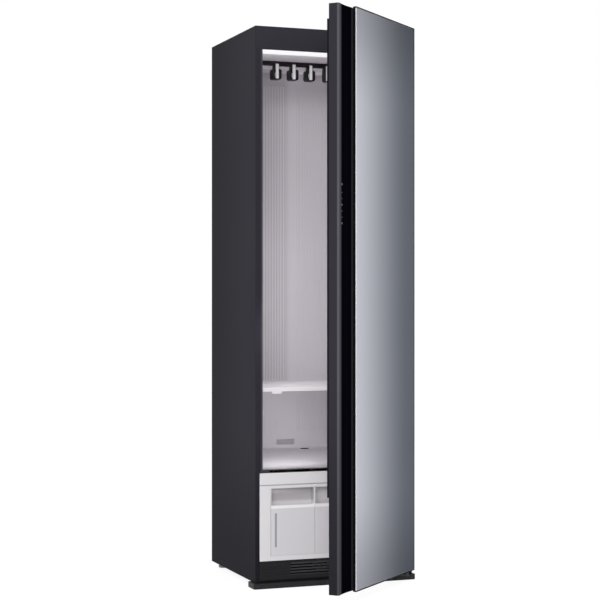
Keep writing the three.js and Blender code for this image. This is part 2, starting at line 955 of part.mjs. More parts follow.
// The sliding bar: a head inside the rail, a neck, and a slot that the drive pin pushes.
function hangerBar() {
  const half = halfOpening - railEndGap - barTravel - barEndGap;
  const head = block(
    both(half),
    [railSetback - barHalfDepth, railSetback + barHalfDepth],
    [barHeadBottom, barHeadTop],
  );
  const neck = block(
    both(half),
    [railSetback - barNeckHalfDepth, railSetback + barNeckHalfDepth],
    [barBottom, barHeadTop],
  );
  const rise = leverLength * (1 - Math.cos(THREE.MathUtils.degToRad(leverSwing)));
  const play = leverPinRadius + leverPinPlay;
  const fork = block(
    both(play),
    [railSetback - play, railSetback + rise + play],
    [barHeadBottom, barHeadTop + overrun],
  );
  return cut(join(head, neck), fork);
}

// A hook for one hanger: a neck, a block with a window that the hanger's wire goes through, and
// a narrow plate in front. The blocks of the first hooks are wide, the others as wide as the neck.
function hangerHook(place, wide) {
  const front = railSetback - hookDepth / 2;
  const rear = railSetback + hookDepth / 2;
  const neck = block(
    both(hookNeckWidth / 2),
    both(hookNeckDepth / 2).map((y) => y + railSetback),
    [hookBlockTop - hookCornerRadius, hookTop],
  );
  const half = wide ? hookWidth / 2 : hookNeckWidth / 2;
  const halfWindow = wide ? hookWindowWidth / 2 : narrowWindowWidth / 2;
  const body = runBack(
    roundedRectangle(both(half), [hookBottom, hookBlockTop], hookCornerRadius),
    [front, rear],
  );
  const window = runBack(
    roundedRectangle(
      both(halfWindow),
      [hookBottom + hookWindowRise, hookBottom + hookWindowRise + hookWindowHeight],
      hookCornerRadius / 2,
    ),
    [front - overrun, rear + overrun],
  );
  const plateY = [front - hookPlateThickness - fit, front - fit];
  const across = both(hookPlateWidth / 2);
  const plate = block(across, plateY, [hookBottom + hookPlateFoot, hookTop + hookPlateRise]);
  const seat = block(across, [plateY[0], front + fit], [hookBlockTop - hookCornerRadius, hookBlockTop]);
  return join(cut(join(neck, body), window), plate, seat).translate([place, 0, 0]);
}

// The rocking lever of the hanger drive, with the pin that reaches down into the bar.
function driveLever() {
  const y = leverShaftY;
  const height = [leverBottom, leverBottom + leverThickness];
  const arm = block(both(leverWidth / 2), [railSetback, y], height);
  const end = post(leverWidth / 2, [0, railSetback], height, smallSteps);
  const hub = post(leverHubRadius, [0, y], height);
  const pin = post(leverPinRadius, [0, railSetback], [barHeadBottom + fit, height[1]], smallSteps);
  const bore = post(driveShaftRadius + runningFit, [0, y], [openingTop, caseTop]);
  return cut(join(arm, end, hub, pin), bore);
}

// The drive motor on its four legs over the ceiling, with its shaft pointing down.
function hangerMotor() {
  const [w, d] = [driveWidth / 2, driveDepth / 2];
  const low = driveBase + driveLegHeight;
  const body = runAcross(
    roundedRectangle([leverShaftY - d, leverShaftY + d], [low, low + driveHeight], driveLegWidth / 2),
    both(w),
  );
  const legs = [-1, 1].flatMap((sx) =>
    [-1, 1].map((sy) => {
      const x = [sx * (w - driveLegWidth), sx * w].sort((a, b) => a - b);
      const y = [leverShaftY + sy * (d - 2 * driveLegWidth), leverShaftY + sy * (d - driveLegWidth)];
      return block(x, y.sort((a, b) => a - b), [driveBase, low + driveLegWidth]);
    }),
  );
  const shaft = post(driveShaftRadius, [0, leverShaftY], [leverBottom, low + driveLegWidth]);
  return join(body, ...legs, shaft);
}

// The black grille at the bottom: deep louvres in the middle and fine grooves at the sides.
function kickGrille() {
  const body = block(both(lowerHalf), [0, kickThickness], [kickBottom, kickTop]);
  const levels = count(kickSlotCount).map((i) => kickTop - kickTopBand - (i + 1) * kickSlotPitch);
  const slots = levels.map((z) =>
    block(both(kickSlotHalf), [-overrun, kickThickness + overrun], [z, z + kickSlotHeight]),
  );
  const grooves = levels.flatMap((z) =>
    [-1, 1].map((side) => {
      const outer = lowerHalf - kickGrooveInset;
      const across = [side * (outer - kickGrooveWidth), side * outer].sort((a, b) => a - b);
      return block(across, [-overrun, kickGrooveDepth], [z, z + kickGrooveHeight]);
    }),
  );
  return cut(body, ...slots, ...grooves);
}

// The white front with the opening for both tanks and a plain closed part on the right.
function lowerFrontPanel() {
  const body = block(both(lowerHalf), [0, lowerThickness], [panelBottom, panelTop]);
  const opening = block(
    [tankLeft - tankReveal, tanksRight + tankReveal],
    [-overrun, lowerThickness + overrun],
    [tankBottom - tankReveal / 2, tankTop + tankReveal / 2],
  );
  return cut(body, opening);
}

// The white strip over the tanks, with the filter's opening and its two guides behind it.
function upperFrontStrip() {
  const body = block(both(lowerHalf), [0, lowerThickness], [stripBottom, stripTop]);
  const half = filterWidth / 2 + fit;
  const opening = block(
    both(half),
    [-overrun, lowerThickness + overrun],
    [filterBottom - fit, filterTop + fit],
  );
  const rear = lowerThickness + filterDepth;
  const middle = (filterBottom + filterTop) / 2;
  const guides = [-1, 1].map((side) => {
    const across = (a, b) => [side * a, side * b].sort((p, q) => p - q);
    const web = block(
      across(half, half + guideWall),
      [lowerThickness - fit, rear],
      [middle - filterRail, middle + filterRail],
    );
    const lips = block(
      across(half - filterRail, half + guideWall),
      [lowerThickness + fit, rear],
      [middle - filterRail, middle + filterRail],
    );
    const groove = block(
      across(half - 2 * filterRail, half),
      [-overrun, rear + overrun],
      [middle - filterRail / 2, middle + filterRail / 2],
    );
    return cut(join(web, lips), groove);
  });
  return join(cut(body, opening), ...guides);
}

// The open box behind the lower front that holds both tanks.
function tankBay() {
  const left = tankLeft - tankReveal - fit;
  const right = tanksRight + tankReveal + fit;
  const rear = tankFront + tankDepth + bayRearGap;
  const low = tankBottom - fit;
  const high = tankTop + tankReveal;
  return cut(
    block([left - bayWall, right + bayWall], [bayFront, rear + bayWall], [low - bayWall, high + bayWall]),
    block([left, right], [bayFront - overrun, rear], [low, high]),
  );
}

// The side outline of a tank: a flat front with a rounded lip, and a finger pocket behind it.
// The pocket lies between two cheeks, so that the front has a straight edge up to its top.
function tankSide() {
  const lipTop = tankTop - tankRecessHeight;
  const lipBack = tankFront + tankLipThickness;
  const recess = tankFront + tankRecessDepth;
  const shape = new THREE.Shape();
  shape.moveTo(tankFront, tankBottom);
  shape.lineTo(tankFront + tankDepth, tankBottom);
  shape.lineTo(tankFront + tankDepth, tankLidBottom - fit);
  shape.lineTo(recess + tankWall + fit, tankLidBottom - fit);
  shape.lineTo(recess + tankWall + fit, tankTop);
  shape.lineTo(recess, tankTop);
  shape.lineTo(recess, lipTop - tankPocketDepth);
  shape.lineTo(lipBack, lipTop - tankPocketDepth);
  shape.lineTo(lipBack, lipTop - tankLipRadius);
  shape.absarc(lipBack - tankLipRadius, lipTop - tankLipRadius, tankLipRadius, 0, Math.PI / 2);
  shape.absarc(tankFront + tankLipRadius, lipTop - tankLipRadius, tankLipRadius, Math.PI / 2, Math.PI);
  return shape;
}

const windowPlace = (left, mirrored) =>
  mirrored ? left + tankWidth - windowInset - windowWidth : left + windowInset;

function windowShape(left, mirrored, shrink) {
  const x = windowPlace(left, mirrored);
  return roundedRectangle(
    [x + shrink, x + windowWidth - shrink],
    [tankBottom + windowRise + shrink, tankBottom + windowRise + windowHeight - shrink],
    windowWidth / 3,
  );
}

// A tank: the hollow body, open at the top, with a slot in front for its level window.
function waterTank(left, mirrored) {
  const recess = tankFront + tankRecessDepth;
  const lipTop = tankTop - tankRecessHeight;
  const across = [left + tankWall, left + tankWidth - tankWall];
  const low = tankBottom + tankWall;
  const rearHollow = block(
    across,
    [recess + 2 * tankWall, tankFront + tankDepth - tankWall],
    [low, tankTop + overrun],
  );
  const frontHollow = block(
    across,
    [tankFront + tankWall, recess + 3 * tankWall],
    [low, lipTop - tankPocketDepth - tankWall],
  );
  const slot = runBack(windowShape(left, mirrored, 0), [tankFront - overrun, tankFront + 2 * tankWall]);
  const cheeks = [left, left + tankWidth - tankRecessEnd].map((x) =>
    block([x, x + tankRecessEnd], [tankFront, recess + tankWall], [lipTop - tankPocketDepth, tankTop]),
  );
  const body = join(runAcross(tankSide(), [left, left + tankWidth]), ...cheeks);
  return cut(body, rearHollow, frontHollow, slot);
}

function tankLid(left) {
  const front = tankFront + tankRecessDepth + tankWall + 2 * fit;
  const rear = tankFront + tankDepth;
  const middle = [left + tankWidth / 2, (front + rear) / 2];
  const plate = block([left, left + tankWidth], [front, rear], [tankLidBottom, tankTop - tankCapHeight]);
  const cap = post(tankCapRadius, middle, [tankLidBottom, tankTop]);
  return join(plate, cap);
}

function levelWindow(left, mirrored) {
  return runBack(windowShape(left, mirrored, fit), [tankFront, tankFront + tankWall]);
}

// The lint filter: a front with a grip groove, and a net in a frame whose rails run in the guides.
function lintFilter() {
  const half = filterWidth / 2;
  const front = block(both(half), [fit, fit + filterFront], [filterBottom, filterTop]);
  const grip = block(
    both(filterGripWidth / 2),
    [-overrun, fit + filterGripDepth],
    [filterTop - 2 * filterGripHeight, filterTop - filterGripHeight],
  );
  const middle = (filterBottom + filterTop) / 2;
  const height = both(filterNet / 2).map((z) => z + middle);
  const depth = [filterFront, filterFront + filterDepth];
  const net = block(both(half - fit), depth, height);
  const bars = filterRail + filterNetBar;
  const cellX = (filterWidth - 2 * bars) / filterGapsAcross;
  const cellY = (filterDepth - 2 * bars) / filterGapsDeep;
  const gaps = count(filterGapsAcross).flatMap((i) =>
    count(filterGapsDeep).map((j) => {
      const x = -half + bars + i * cellX;
      const y = depth[0] + bars + j * cellY;
      return block(
        [x + filterNetBar / 2, x + cellX - filterNetBar / 2],
        [y + filterNetBar / 2, y + cellY - filterNetBar / 2],
        both(overrun).map((z) => z + middle),
      );
    }),
  );
  const beam = block(
    both(half - fit),
    [filterFront, filterFront + filterRail],
    both(filterRail / 2 - fit).map((z) => z + middle),
  );
  const rails = [-1, 1].map((side) => {
    const across = [side * (half - filterRail), side * (half - fit)].sort((a, b) => a - b);
    return block(across, depth, both(filterRail / 2 - fit).map((z) => z + middle));
  });
  return join(cut(front, grip), cut(net, ...gaps), beam, ...rails);
}

// A folded sheet that carries the coils, the fan and the control box over the pumps and boiler.
function machineShelf() {
  const left = supplyPumpX + pumpLength / 2 + machineShelfPumpGap;
  const right = innerHalf - machineShelfRightGap;
  const y = [machineShelfFront, backFront - machineShelfRearGap];
  const top = block([left, right], y, [machineTop - machineSheet, machineTop]);
  const legs = [left, right - machineSheet].map((x) =>
    block([x, x + machineSheet], y, [panFloor + fit, machineTop]),
  );
  const pipeHole = post(steamHoleRadius, [boilerX, boilerY], [panFloor, machineTop + overrun], smallSteps);
  return cut(join(top, ...legs), pipeHole);
}

// A finned coil: plates on rows of tube that stick out at both ends.
function finnedCoil(front) {
  const pitch = (2 * coilHalfWidth - coilFinThickness) / (coilFinCount - 1);
  const low = machineTop + fit;
  const fins = count(coilFinCount).map((i) => {
    const x = -coilHalfWidth + i * pitch;
    return block([x, x + coilFinThickness], [front, front + coilDepth], [low, low + coilHeight]);
  });
  const tubes = count(coilTubeRows).map((i) => {
    const z = low + ((i + 0.5) * coilHeight) / coilTubeRows;
    const half = coilHalfWidth + coilTubeReach;
    return axle(coilTubeRadius, both(half), [front + coilDepth / 2, z], tubeSides);
  });
  return join(...tubes, ...fins);
}

// The fan casing: a round body with side inlet, a foot, and a duct up to the air outlet.
function fanHousing() {
  const centre = [fanCentreY, fanCentreZ];
  const outer = [ventLeft - fanWall, ventRight + fanWall];
  const inner = [ventLeft, ventRight];
  const ductFront = chamberDepth + linerWall + fit;
  const ductRear = Math.min(ductFront + fanDuctDepth, backFront - fit);
  const ductTop = ventTop + fanWall;
  const body = join(
    axle(fanRadius, outer, centre, fineSteps),
    block(outer, [ductFront, ductRear], [fanCentreZ, ductTop]),
    block(outer, both(fanFootDepth / 2).map((y) => y + fanCentreY), [machineTop + fit, fanCentreZ]),
  );
  const hollow = join(
    axle(fanRadius - fanWall, inner, centre, fineSteps),
    block(inner, [ductFront + fanWall, ductRear - fanWall], [fanCentreZ, ventTop]),
  );
  const mouth = block(inner, [ductFront - overrun, ductRear - fanWall], [ventBottom, ventTop]);
  const inlet = axle(fanInletRadius, [outer[0] - overrun, inner[0] + overrun], centre);
  const boss = axle(motorBossRadius + fit, [inner[1] - overrun, outer[1] + overrun], centre);
  return cut(body, hollow, mouth, inlet, boss);
}

// The fan wheel: a disc with a hub, a ring of blades and an end ring.
function fanWheel() {
  const centre = [fanCentreY, fanCentreZ];
  const x0 = ventCentre - wheelWidth / 2;
  const x1 = ventCentre + wheelWidth / 2;
  const disc = axle(wheelRadius, [x1 - wheelDisc, x1], centre, fineSteps);
  const hub = axle(wheelHubRadius, [ventCentre, x1], centre);
  const ring = cut(
    axle(wheelRadius, [x0, x0 + wheelDisc], centre, fineSteps),
    axle(wheelRadius - wheelBladeDepth, [x0 - overrun, x1], centre, fineSteps),
  );
  const blades = count(wheelBladeCount).map((i) => {
    const deep = wheelBladeDepth - wheelBladeThickness;
    const blade = new THREE.BoxGeometry(wheelWidth, wheelBladeThickness, deep);
    blade.rotateX(Math.PI / 5);
    blade.translate(ventCentre, 0, wheelRadius - wheelBladeDepth / 2 - wheelBladeThickness / 2);
    blade.rotateX((i * 2 * Math.PI) / wheelBladeCount);
    return solidOf(blade.translate(0, ...centre));
  });
  const bore = axle(motorShaftRadius + runningFit, [x0 - overrun, x1 + overrun], centre);
  return cut(join(disc, hub, ring, ...blades), bore);
}

function fanMotor() {
  const centre = [fanCentreY, fanCentreZ];
  const face = ventRight + fanWall + fit;
  return join(
    axle(motorRadius, [face, face + motorLength], centre),
    axle(motorBossRadius, [ventRight + fit, face + fit], centre),
    axle(motorShaftRadius, [ventCentre, face + fit], centre),
  );
}

// The control box, open at the back where its wires come in.
function controlBox() {
  const right = innerHalf - machineShelfRightGap - machineSheet;
  const rear = backFront - machineShelfRearGap - machineSheet;
  const x = [right - boxWidth, right];
  const y = [rear - boxDepth, rear];
  const z = [machineTop + fit, machineTop + fit + boxHeight];
  return cut(
    block(x, y, z),
    block(
      [x[0] + boxWall, x[1] - boxWall],
      [y[0] + boxWall, y[1] + overrun],
      [z[0] + boxWall, z[1] - boxWall],
    ),
  );
}

// The compressor: a domed steel pot with a port on top, on a foot plate with three studs.
function compressor() {
  const x = -halfCase + compressorInset;
  const y = backFront - compressorRearGap - compressorFootWidth / 2;
  const low = panFloor + fit + compressorStudHeight;
  const dome = compressorRadius / 3;
  const pot = (r, bottom, top, bend) => {
    const steps = cornerSteps + 1;
    const arc = count(steps + 1).map((i) => {
      const a = (i * Math.PI) / 2 / steps;
      return [r * Math.cos(a), top - bend + bend * Math.sin(a)];
    });
    const lower = count(steps).map((i) => {
      const a = (i * Math.PI) / 2 / steps;
      return [r * Math.sin(a), bottom + bend - bend * Math.cos(a)];
    });
    const points = [...lower, ...arc];
    points[0] = [0, bottom];
    points[points.length - 1] = [0, top];
    return turned(points, [x, y, low], fineSteps);
  };
  const base = compressorFootThickness;
  const outer = pot(compressorRadius, base / 2, base + compressorHeight, dome);
  const inner = pot(
    compressorRadius - compressorWall,
    base + compressorWall,
    base + compressorHeight - compressorWall,
    dome - compressorWall / 2,
  );
  const half = compressorFootWidth / 2;
  const corner = half - compressorStudRadius;
  const plate = raised(
    roundedRectangle([x - half, x + half], [y - half, y + half], compressorStudRadius),
    [low, low + base],
  );
  const studs = [
    [-corner, -corner],
    [corner, -corner],
    [0, corner],
  ].map(([dx, dy]) => {
    const height = [panFloor + fit, low + base];
    return post(compressorStudRadius, [x + dx, y + dy], height, smallSteps);
  });
  const portBottom = low + base + compressorHeight / 2;
  const port = post(portRadius, [x + compressorRadius / 2, y], [portBottom, caseTop], smallSteps);
  return cut(join(outer, plate, ...studs), inner, port);
}

// The boiler: a small tank with round edges on four legs, with a steam spout on top.
function boiler() {
  const legTop = panFloor + fit + boilerLegHeight;
  const x = both(boilerWidth / 2).map((d) => d + boilerX);
  const y = both(boilerDepth / 2).map((d) => d + boilerY);
  const z = [legTop, legTop + boilerHeight];
  const body = runAcross(roundedRectangle(y, z, boilerCorner), x);
  const hollow = runAcross(
    roundedRectangle(
      [y[0] + boilerWall, y[1] - boilerWall],
      [z[0] + boilerWall, z[1] - boilerWall],
      boilerCorner - boilerWall,
    ),
    [x[0] + boilerWall, x[1] - boilerWall],
  );
  const legs = [x[0] + boilerCorner, x[1] - boilerCorner].flatMap((lx) =>
    [y[0] + 2 * boilerCorner, y[1] - 2 * boilerCorner].map((ly) =>
      post(boilerLegRadius, [lx, ly], [panFloor + fit, legTop + boilerWall / 2], smallSteps),
    ),
  );
  const place = [boilerX, boilerY];
  const height = [z[1] - boilerWall, z[1] + boilerSpoutHeight];
  const spout = post(boilerSpoutRadius, place, height, smallSteps);
  const through = [height[0] - boilerWall, height[1] + overrun];
  const bore = post(steamPipeRadius - boilerWall / 2, place, through, smallSteps);
  return cut(join(body, ...legs, spout), hollow, bore);
}

// The steam pipe from the boiler's spout up to the outlet in the chamber floor.
function steamPipe() {
  const start = panFloor + 2 * fit + boilerLegHeight + boilerHeight + boilerSpoutHeight;
  const end = floorAt(nozzleY + nozzleDepth / 2 + nozzleFlange) + fit - 2 * nozzleDepth - fit;
  const points = steamPipeShares.map(
    ([up, along]) =>
      new THREE.Vector3(
        boilerX + (nozzleCentre - boilerX) * along,
        boilerY + (nozzleY - boilerY) * along,
        start + (end - start) * up,
      ),
  );
  const section = new THREE.Shape();
  section.absarc(0, 0, steamPipeRadius, 0, 2 * Math.PI);
  const path = new THREE.CatmullRomCurve3(points, false, "centripetal");
  const tube = new THREE.ExtrudeGeometry(section, {
    steps: tubeSteps,
    curveSegments: tubeSides / 2,
    extrudePath: path,
    bevelEnabled: false,
  });
  return solidOf(tube);
}

// A small water pump lying on a foot, with a spout towards the tanks.
function waterPump(x) {
  const z = panFloor + fit + pumpFootHeight + pumpRadius;
  const across = both(pumpLength / 2).map((d) => d + x);
  const body = axle(pumpRadius, across, [pumpSetback, z]);
  const footing = block(
    both(pumpFootWidth / 2).map((d) => d + x),
    both(pumpFootWidth / 2).map((d) => d + pumpSetback),
    [panFloor + fit, z],
  );
  const spoutFront = pumpSetback - pumpRadius - pumpSpoutLength;
  const spout = spigot(pumpSpoutRadius, [x, z], [spoutFront, pumpSetback], smallSteps);
  return join(body, footing, spout);
}

// The plan outline of the door's shell, closed. Its inner corner beside the hinge is an arc
// about the pin, so that it rolls past the case, and its free front edge is round.
function shellPlan(inset) {
  const [x, y] = [hingeX, -hingeForward];
  const sweep = hingeForward - hingeSweepGap - inset;
  const [left, right] = [doorLeft + inset, doorRight - inset];
  const [front, inner] = [shellFace + inset, doorInner - inset];
  const innerAngle = Math.asin((inner - y) / sweep);
  const sideAngle = Math.acos(Math.min(1, (right - x) / sweep));
  const round = shellEdgeRound - inset;
  const shape = new THREE.Shape();
  shape.moveTo(left + round, front);
  shape.lineTo(right, front);
  shape.lineTo(right, y + sweep * Math.sin(sideAngle));
  shape.absarc(x, y, sweep, sideAngle, innerAngle);
  shape.lineTo(left + shellEdgeChamfer, inner);
  shape.lineTo(left, inner - shellEdgeChamfer);
  shape.lineTo(left, front + round);
  shape.absarc(left + round, front + round, round, Math.PI, 1.5 * Math.PI);
  return shape;
}

// The holes for the two hinge pins.
function pinHoles() {
  const pin = [hingeX, -hingeForward];
  const bore = hingePinRadius + runningFit;
  return [
    post(bore, pin, [notchLevel - hingePinLength - hingeEndPlay, mirrorTop + overrun]),
    post(bore, pin, [mirrorBottom - overrun, shellBottom + hingePinLength + hingeEndPlay]),
  ];
}

// The solid round each hinge pin, behind the inner panel.
function pinBlocks() {
  const across = [hingeX - hingeBlock / 2, doorRight];
  const depth = [shellFace - overrun, doorInner - doorPanelThickness - fit];
  const reach = hingePinLength + hingeBlockCap;
  return [
    block(across, depth, [notchLevel - reach, shellTop]),
    block(across, depth, [shellBottom, shellBottom + reach]),
  ];
}

// The room inside the door shell. It leaves the step behind the handle strip, a block round
// each hinge pin and the floor of the notch for the hinge arm.
function shellHollow() {
  const notchLeft = hingeX - hingeNotchReach;
  const depth = [shellFace - overrun, doorInner + overrun];
  return cut(
    raised(shellPlan(shellWall), [shellBottom + shellWall, shellTop - shellWall]),
    block(
      [doorLeft, mirrorLeft + shellWall],
      [shellFace, shellFace + stripRecess + shellWall],
      [shellBottom, shellTop],
    ),
    block([notchLeft - shellWall, doorRight], depth, [notchLevel - shellWall, shellTop]),
    ...pinBlocks(),
  );
}

// The dark door shell: a folded tray open to the inside, with a shallow recess down its free
// edge for the handle strip, a notch over the hinge arm and the two pin holes.
function doorShell() {
  const opening = block(
    [doorLeft + shellWall, panelRight + fit],
    [doorInner - doorPanelThickness - fit, doorInner + overrun],
    [shellBottom + shellWall, notchLevel - shellWall],
  );
  const recess = block(
    [doorLeft + stripLeftLip, mirrorLeft],
    [shellFace - overrun, shellFace + stripRecess],
    [shellBottom - overrun, shellTop + overrun],
  );
  const notch = block(
    [hingeX - hingeNotchReach, doorRight + overrun],
    [frameFace, doorInner + overrun],
    [notchLevel, shellTop + overrun],
  );
  return cut(
    raised(shellPlan(0), [shellBottom, shellTop]),
    shellHollow(),
    opening,
    recess,
    notch,
    ...pinHoles(),
  );
}

// The gloss black handle strip: flat behind, hollowed in front.
function handleStrip() {
  const left = doorLeft + stripLeftLip + fit;
  const right = mirrorLeft - fit;
  const back = shellFace + stripRecess - fit;
  const half = (right - left) / 2;
  const radius = (half * half + stripSag * stripSag) / (2 * stripSag);
  const angle = Math.asin(half / radius);
  const centre = [(left + right) / 2, shellFace + stripSag - radius];
  const shape = new THREE.Shape();
  shape.moveTo(right, back);
  shape.lineTo(left, back);
  shape.absarc(centre[0], centre[1], radius, Math.PI / 2 + angle, Math.PI / 2 - angle, true);
  return raised(shape, [shellBottom, shellTop], 2 * bendSteps);
}

// The light inner panel of the door, with a raised field that faces the chamber.
function doorPanel() {
  const left = doorLeft + shellWall + fit;
  const z = [shellBottom + shellWall + fit, notchLevel - shellWall - fit];
  const rear = doorInner - doorPanelThickness;
  const plate = block([left, panelRight], [rear, doorInner], z);
  const half = hingeX - sealLipWidth - doorPanelSealGap;
  const field = [openingBottom + doorPanelEndGap, openingTop - doorPanelEndGap];
  const raisedField = block(both(half), [rear, doorInner + doorPanelStand], field);
  const hollow = block(
    both(half - doorPanelThickness),
    [rear - overrun, doorInner + doorPanelStand - doorPanelThickness],
    [field[0] + doorPanelThickness, field[1] - doorPanelThickness],
  );
  return cut(join(plate, raisedField), hollow);
}

// A rectangular ring round the chamber opening, standing on the inside of the door.
function sealRing([left, right], width, height) {
  const z = [openingBottom - sealBelowOpening, openingTop + sealAboveOpening];
  const y = [doorInner + fit, doorInner + height];
  return cut(
    block([left, right], y, z),
    block(
      [left + width, hingeX - sealLipWidth],
      [y[0] - overrun, y[1] + overrun],
      [z[0] + width, z[1] - width],
    ),
  );
}

// The seal of the door: a wide foot and a taller lip that meets the case. Beside the hinge the
// lip stays on the near side of the pin, so that it doesn't dig in as the door turns.
function doorSeal() {
  const left = doorLeft + sealEdgeGap;
  return join(
    sealRing([left, hingeX + sealWidth - sealLipWidth], sealWidth, sealBaseHeight),
    sealRing([left, hingeX], sealLipWidth, sealHeight),
  );
}

// The dark frame of the glass: a tray whose rim is open beside the handle strip. It is hollow
// from the back and cut away behind the glass at both hinge corners.
function mirrorFrame() {
  const x = [mirrorLeft, doorRight];
  const z = [mirrorBottom, mirrorTop];
  const corner = [hingeX - hingeEndRadius - 2 * hingeNotchGap, doorRight + overrun];
  const depth = [frameFace, frameBack + overrun];
  return cut(
    block(x, [glassFace + fit, frameBack], z),
    block(
      [mirrorLeft - overrun, glassRight + fit],
      [glassFace - overrun, frameFace],
      [glassBottom - fit, glassTop + fit],
    ),
    block(
      [x[0] + mirrorFrameRing, x[1] - hingeInset - mirrorFrameRing],
      [frameFace + mirrorFrameSkin, frameBack + overrun],
      [z[0] + mirrorFrameRing, z[1] - mirrorFrameRing - shellAboveCase],
    ),
    block(corner, depth, [notchLevel, mirrorTop + overrun]),
    block(corner, depth, [mirrorBottom - overrun, shellBottom + hingeNotchGap]),
    ...pinHoles(),
  );
}

// The mirror itself, a pane in the tray of its frame.
function mirrorGlass() {
  return block([mirrorLeft, glassRight], [glassFace, glassBack], [glassBottom, glassTop]);
}

// The plan of a hinge arm: round at the pin, and slanted so that the open door clears it.
function armPlan(rearLeft, rearRight, seatFront, seatRear) {
  const [x, y] = [hingeX, -hingeForward];
  const slant = THREE.MathUtils.degToRad(hingeArmSlant);
  const flare = THREE.MathUtils.degToRad(hingeArmSlant + hingeArmFlare);
  const r = hingeEndRadius;
  const shape = new THREE.Shape();
  shape.absarc(x, y, r, slant, Math.PI + flare, true);
  shape.lineTo(rearLeft, seatFront);
  shape.lineTo(rearLeft, seatRear);
  shape.lineTo(rearRight, seatRear);
  shape.lineTo(rearRight, seatFront);
  return shape;
}

// The arm on top of the case, with the pin that hangs down into the door.
function topHingeArm() {
  const z = [caseTop + fit, caseTop + fit + hingeArmThickness];
  const run = (hingeForward + sheet) * Math.tan(THREE.MathUtils.degToRad(hingeArmSlant));
  const right = hingeX + hingeEndRadius / 2 - run;
  const plate = raised(armPlan(right - hingeArmWidth, right, sheet, hingeArmSeat), z);
  const pin = post(hingePinRadius, [hingeX, -hingeForward], [notchLevel - hingePinLength, z[1]]);
  return join(plate, pin);
}

// The arm on the base plate, with a collar that carries the door and the pin up into it.
function bottomHingeArm() {
  const low = caseBottom;
  const rear = panFront - fit;
  const front = -plateForward + bottomArmSeatGap;
  const right = hingeX - hingeEndRadius;
  const outlineOfArm = armPlan(right - hingeArmWidth, right, front, rear);
  const plate = raised(outlineOfArm, [low, low + bottomArmThickness]);
  const pin = [hingeX, -hingeForward];
  return join(
    plate,
    post(hingeEndRadius, pin, [low, shellBottom - fit]),
    post(hingePinRadius, pin, [low, shellBottom + hingePinLength]),
  );
}

// Finishes by their colour, roughness and metalness
const finishes = {
  caseSteel: [0x36363b, 0.5, 0.4],
  darkTrim: [0x37363b, 0.5, 0.1],
  blackTrim: [0x1b1b1e, 0.55, 0],
  glossBlack: [0x060509, 0.12, 0],
  mirror: [0x8f959d, 0.12, 0.9],
  white: [0xdcdadc, 0.4, 0],
  tub: [0xb9b5ba, 0.45, 0],
  clear: [0xa4b1b1, 0.2, 0],
  light: [0xffffff, 0.4, 0],
  foam: [0xe8dfc4, 0.9, 0],
  rubber: [0x1c1c1f, 0.8, 0],
  plated: [0xa9abae, 0.35, 0.9],
  copper: [0xa9673f, 0.35, 0.9],
  machine: [0x1e1f22, 0.5, 0.4],
  greyPlastic: [0x8c8d92, 0.5, 0],
};

// A named piece in its finish.
function piece(name, solid, finishName) {
  const [color, roughness, metalness] = finishes[finishName];
  const mesh = new THREE.Mesh(
    geometryOf(solid),
    new THREE.MeshStandardMaterial({ color, roughness, metalness }),
  );
  mesh.name = name;
  return mesh;
}

const cabinet = new THREE.Group();
cabinet.add(
  piece("left_side_panel", sidePanel(-1), "caseSteel"),
  piece("right_side_panel", sidePanel(1), "caseSteel"),
  piece("top_panel", topPanel(), "caseSteel"),
  piece("top_fascia", fascia(), "caseSteel"),
  piece("back_panel", backPanel(), "plated"),
  piece("rear_cover", rearCover(), "machine"),
  piece("power_gland", powerGland(), "rubber"),
  piece("base_pan", basePan(), "plated"),
  piece("base_plate", basePlate(), "blackTrim"),
  piece("front_frame", frontFrame(), "darkTrim"),
  piece("foam_jacket", foamJacket(), "foam"),
  piece("chamber_liner", chamberLiner(), "tub"),
  piece("light_diffuser", lightDiffuser(), "light"),
  piece("air_outlet_grille", airGrille(), "greyPlastic"),
  piece("steam_outlet", steamNozzle(), "blackTrim"),
  piece("shelf", shelf(), "white"),
  piece("hanger_rail", hangerRail(), "blackTrim"),
  piece("hanger_motor", hangerMotor(), "machine"),
  piece("kick_grille", kickGrille(), "blackTrim"),
  piece("lower_front_panel", lowerFrontPanel(), "white"),
  piece("upper_front_strip", upperFrontStrip(), "white"),
  piece("tank_bay", tankBay(), "greyPlastic"),
  piece("machine_shelf", machineShelf(), "plated"),
  piece("evaporator", finnedCoil(machineShelfFront + coilSetback), "copper"),
  piece("condenser", finnedCoil(machineShelfFront + coilSetback + coilDepth + coilBetween), "copper"),
  piece("fan_housing", fanHousing(), "greyPlastic"),
  piece("fan_motor", fanMotor(), "machine"),
  piece("control_box", controlBox(), "greyPlastic"),
  piece("compressor", compressor(), "machine"),
  piece("steam_generator", boiler(), "plated"),
  piece("steam_pipe", steamPipe(), "greyPlastic"),
  piece("supply_pump", waterPump(supplyPumpX), "greyPlastic"),
  piece("drain_pump", waterPump(drainPumpX), "greyPlastic"),
  piece("top_hinge_arm", topHingeArm(), "plated"),
  piece("bottom_hinge_arm", bottomHingeArm(), "plated"),
);

for (const [name, place] of Object.entries(footPlaces())) {
  cabinet.add(piece(name + "_foot", foot(place), "greyPlastic"));
}

// What shakes: the bar with its hooks, and the lever that drives it
cabinet.add(piece("hanger_bar", hangerBar(), "blackTrim"), piece("drive_lever", driveLever(), "plated"));
for (const i of count(hookCount)) {
  const place = (i - (hookCount - 1) / 2) * hookPitch;
  cabinet.add(piece("hanger_hook_" + (i + 1), hangerHook(place, i < wideHookCount), "blackTrim"));
}

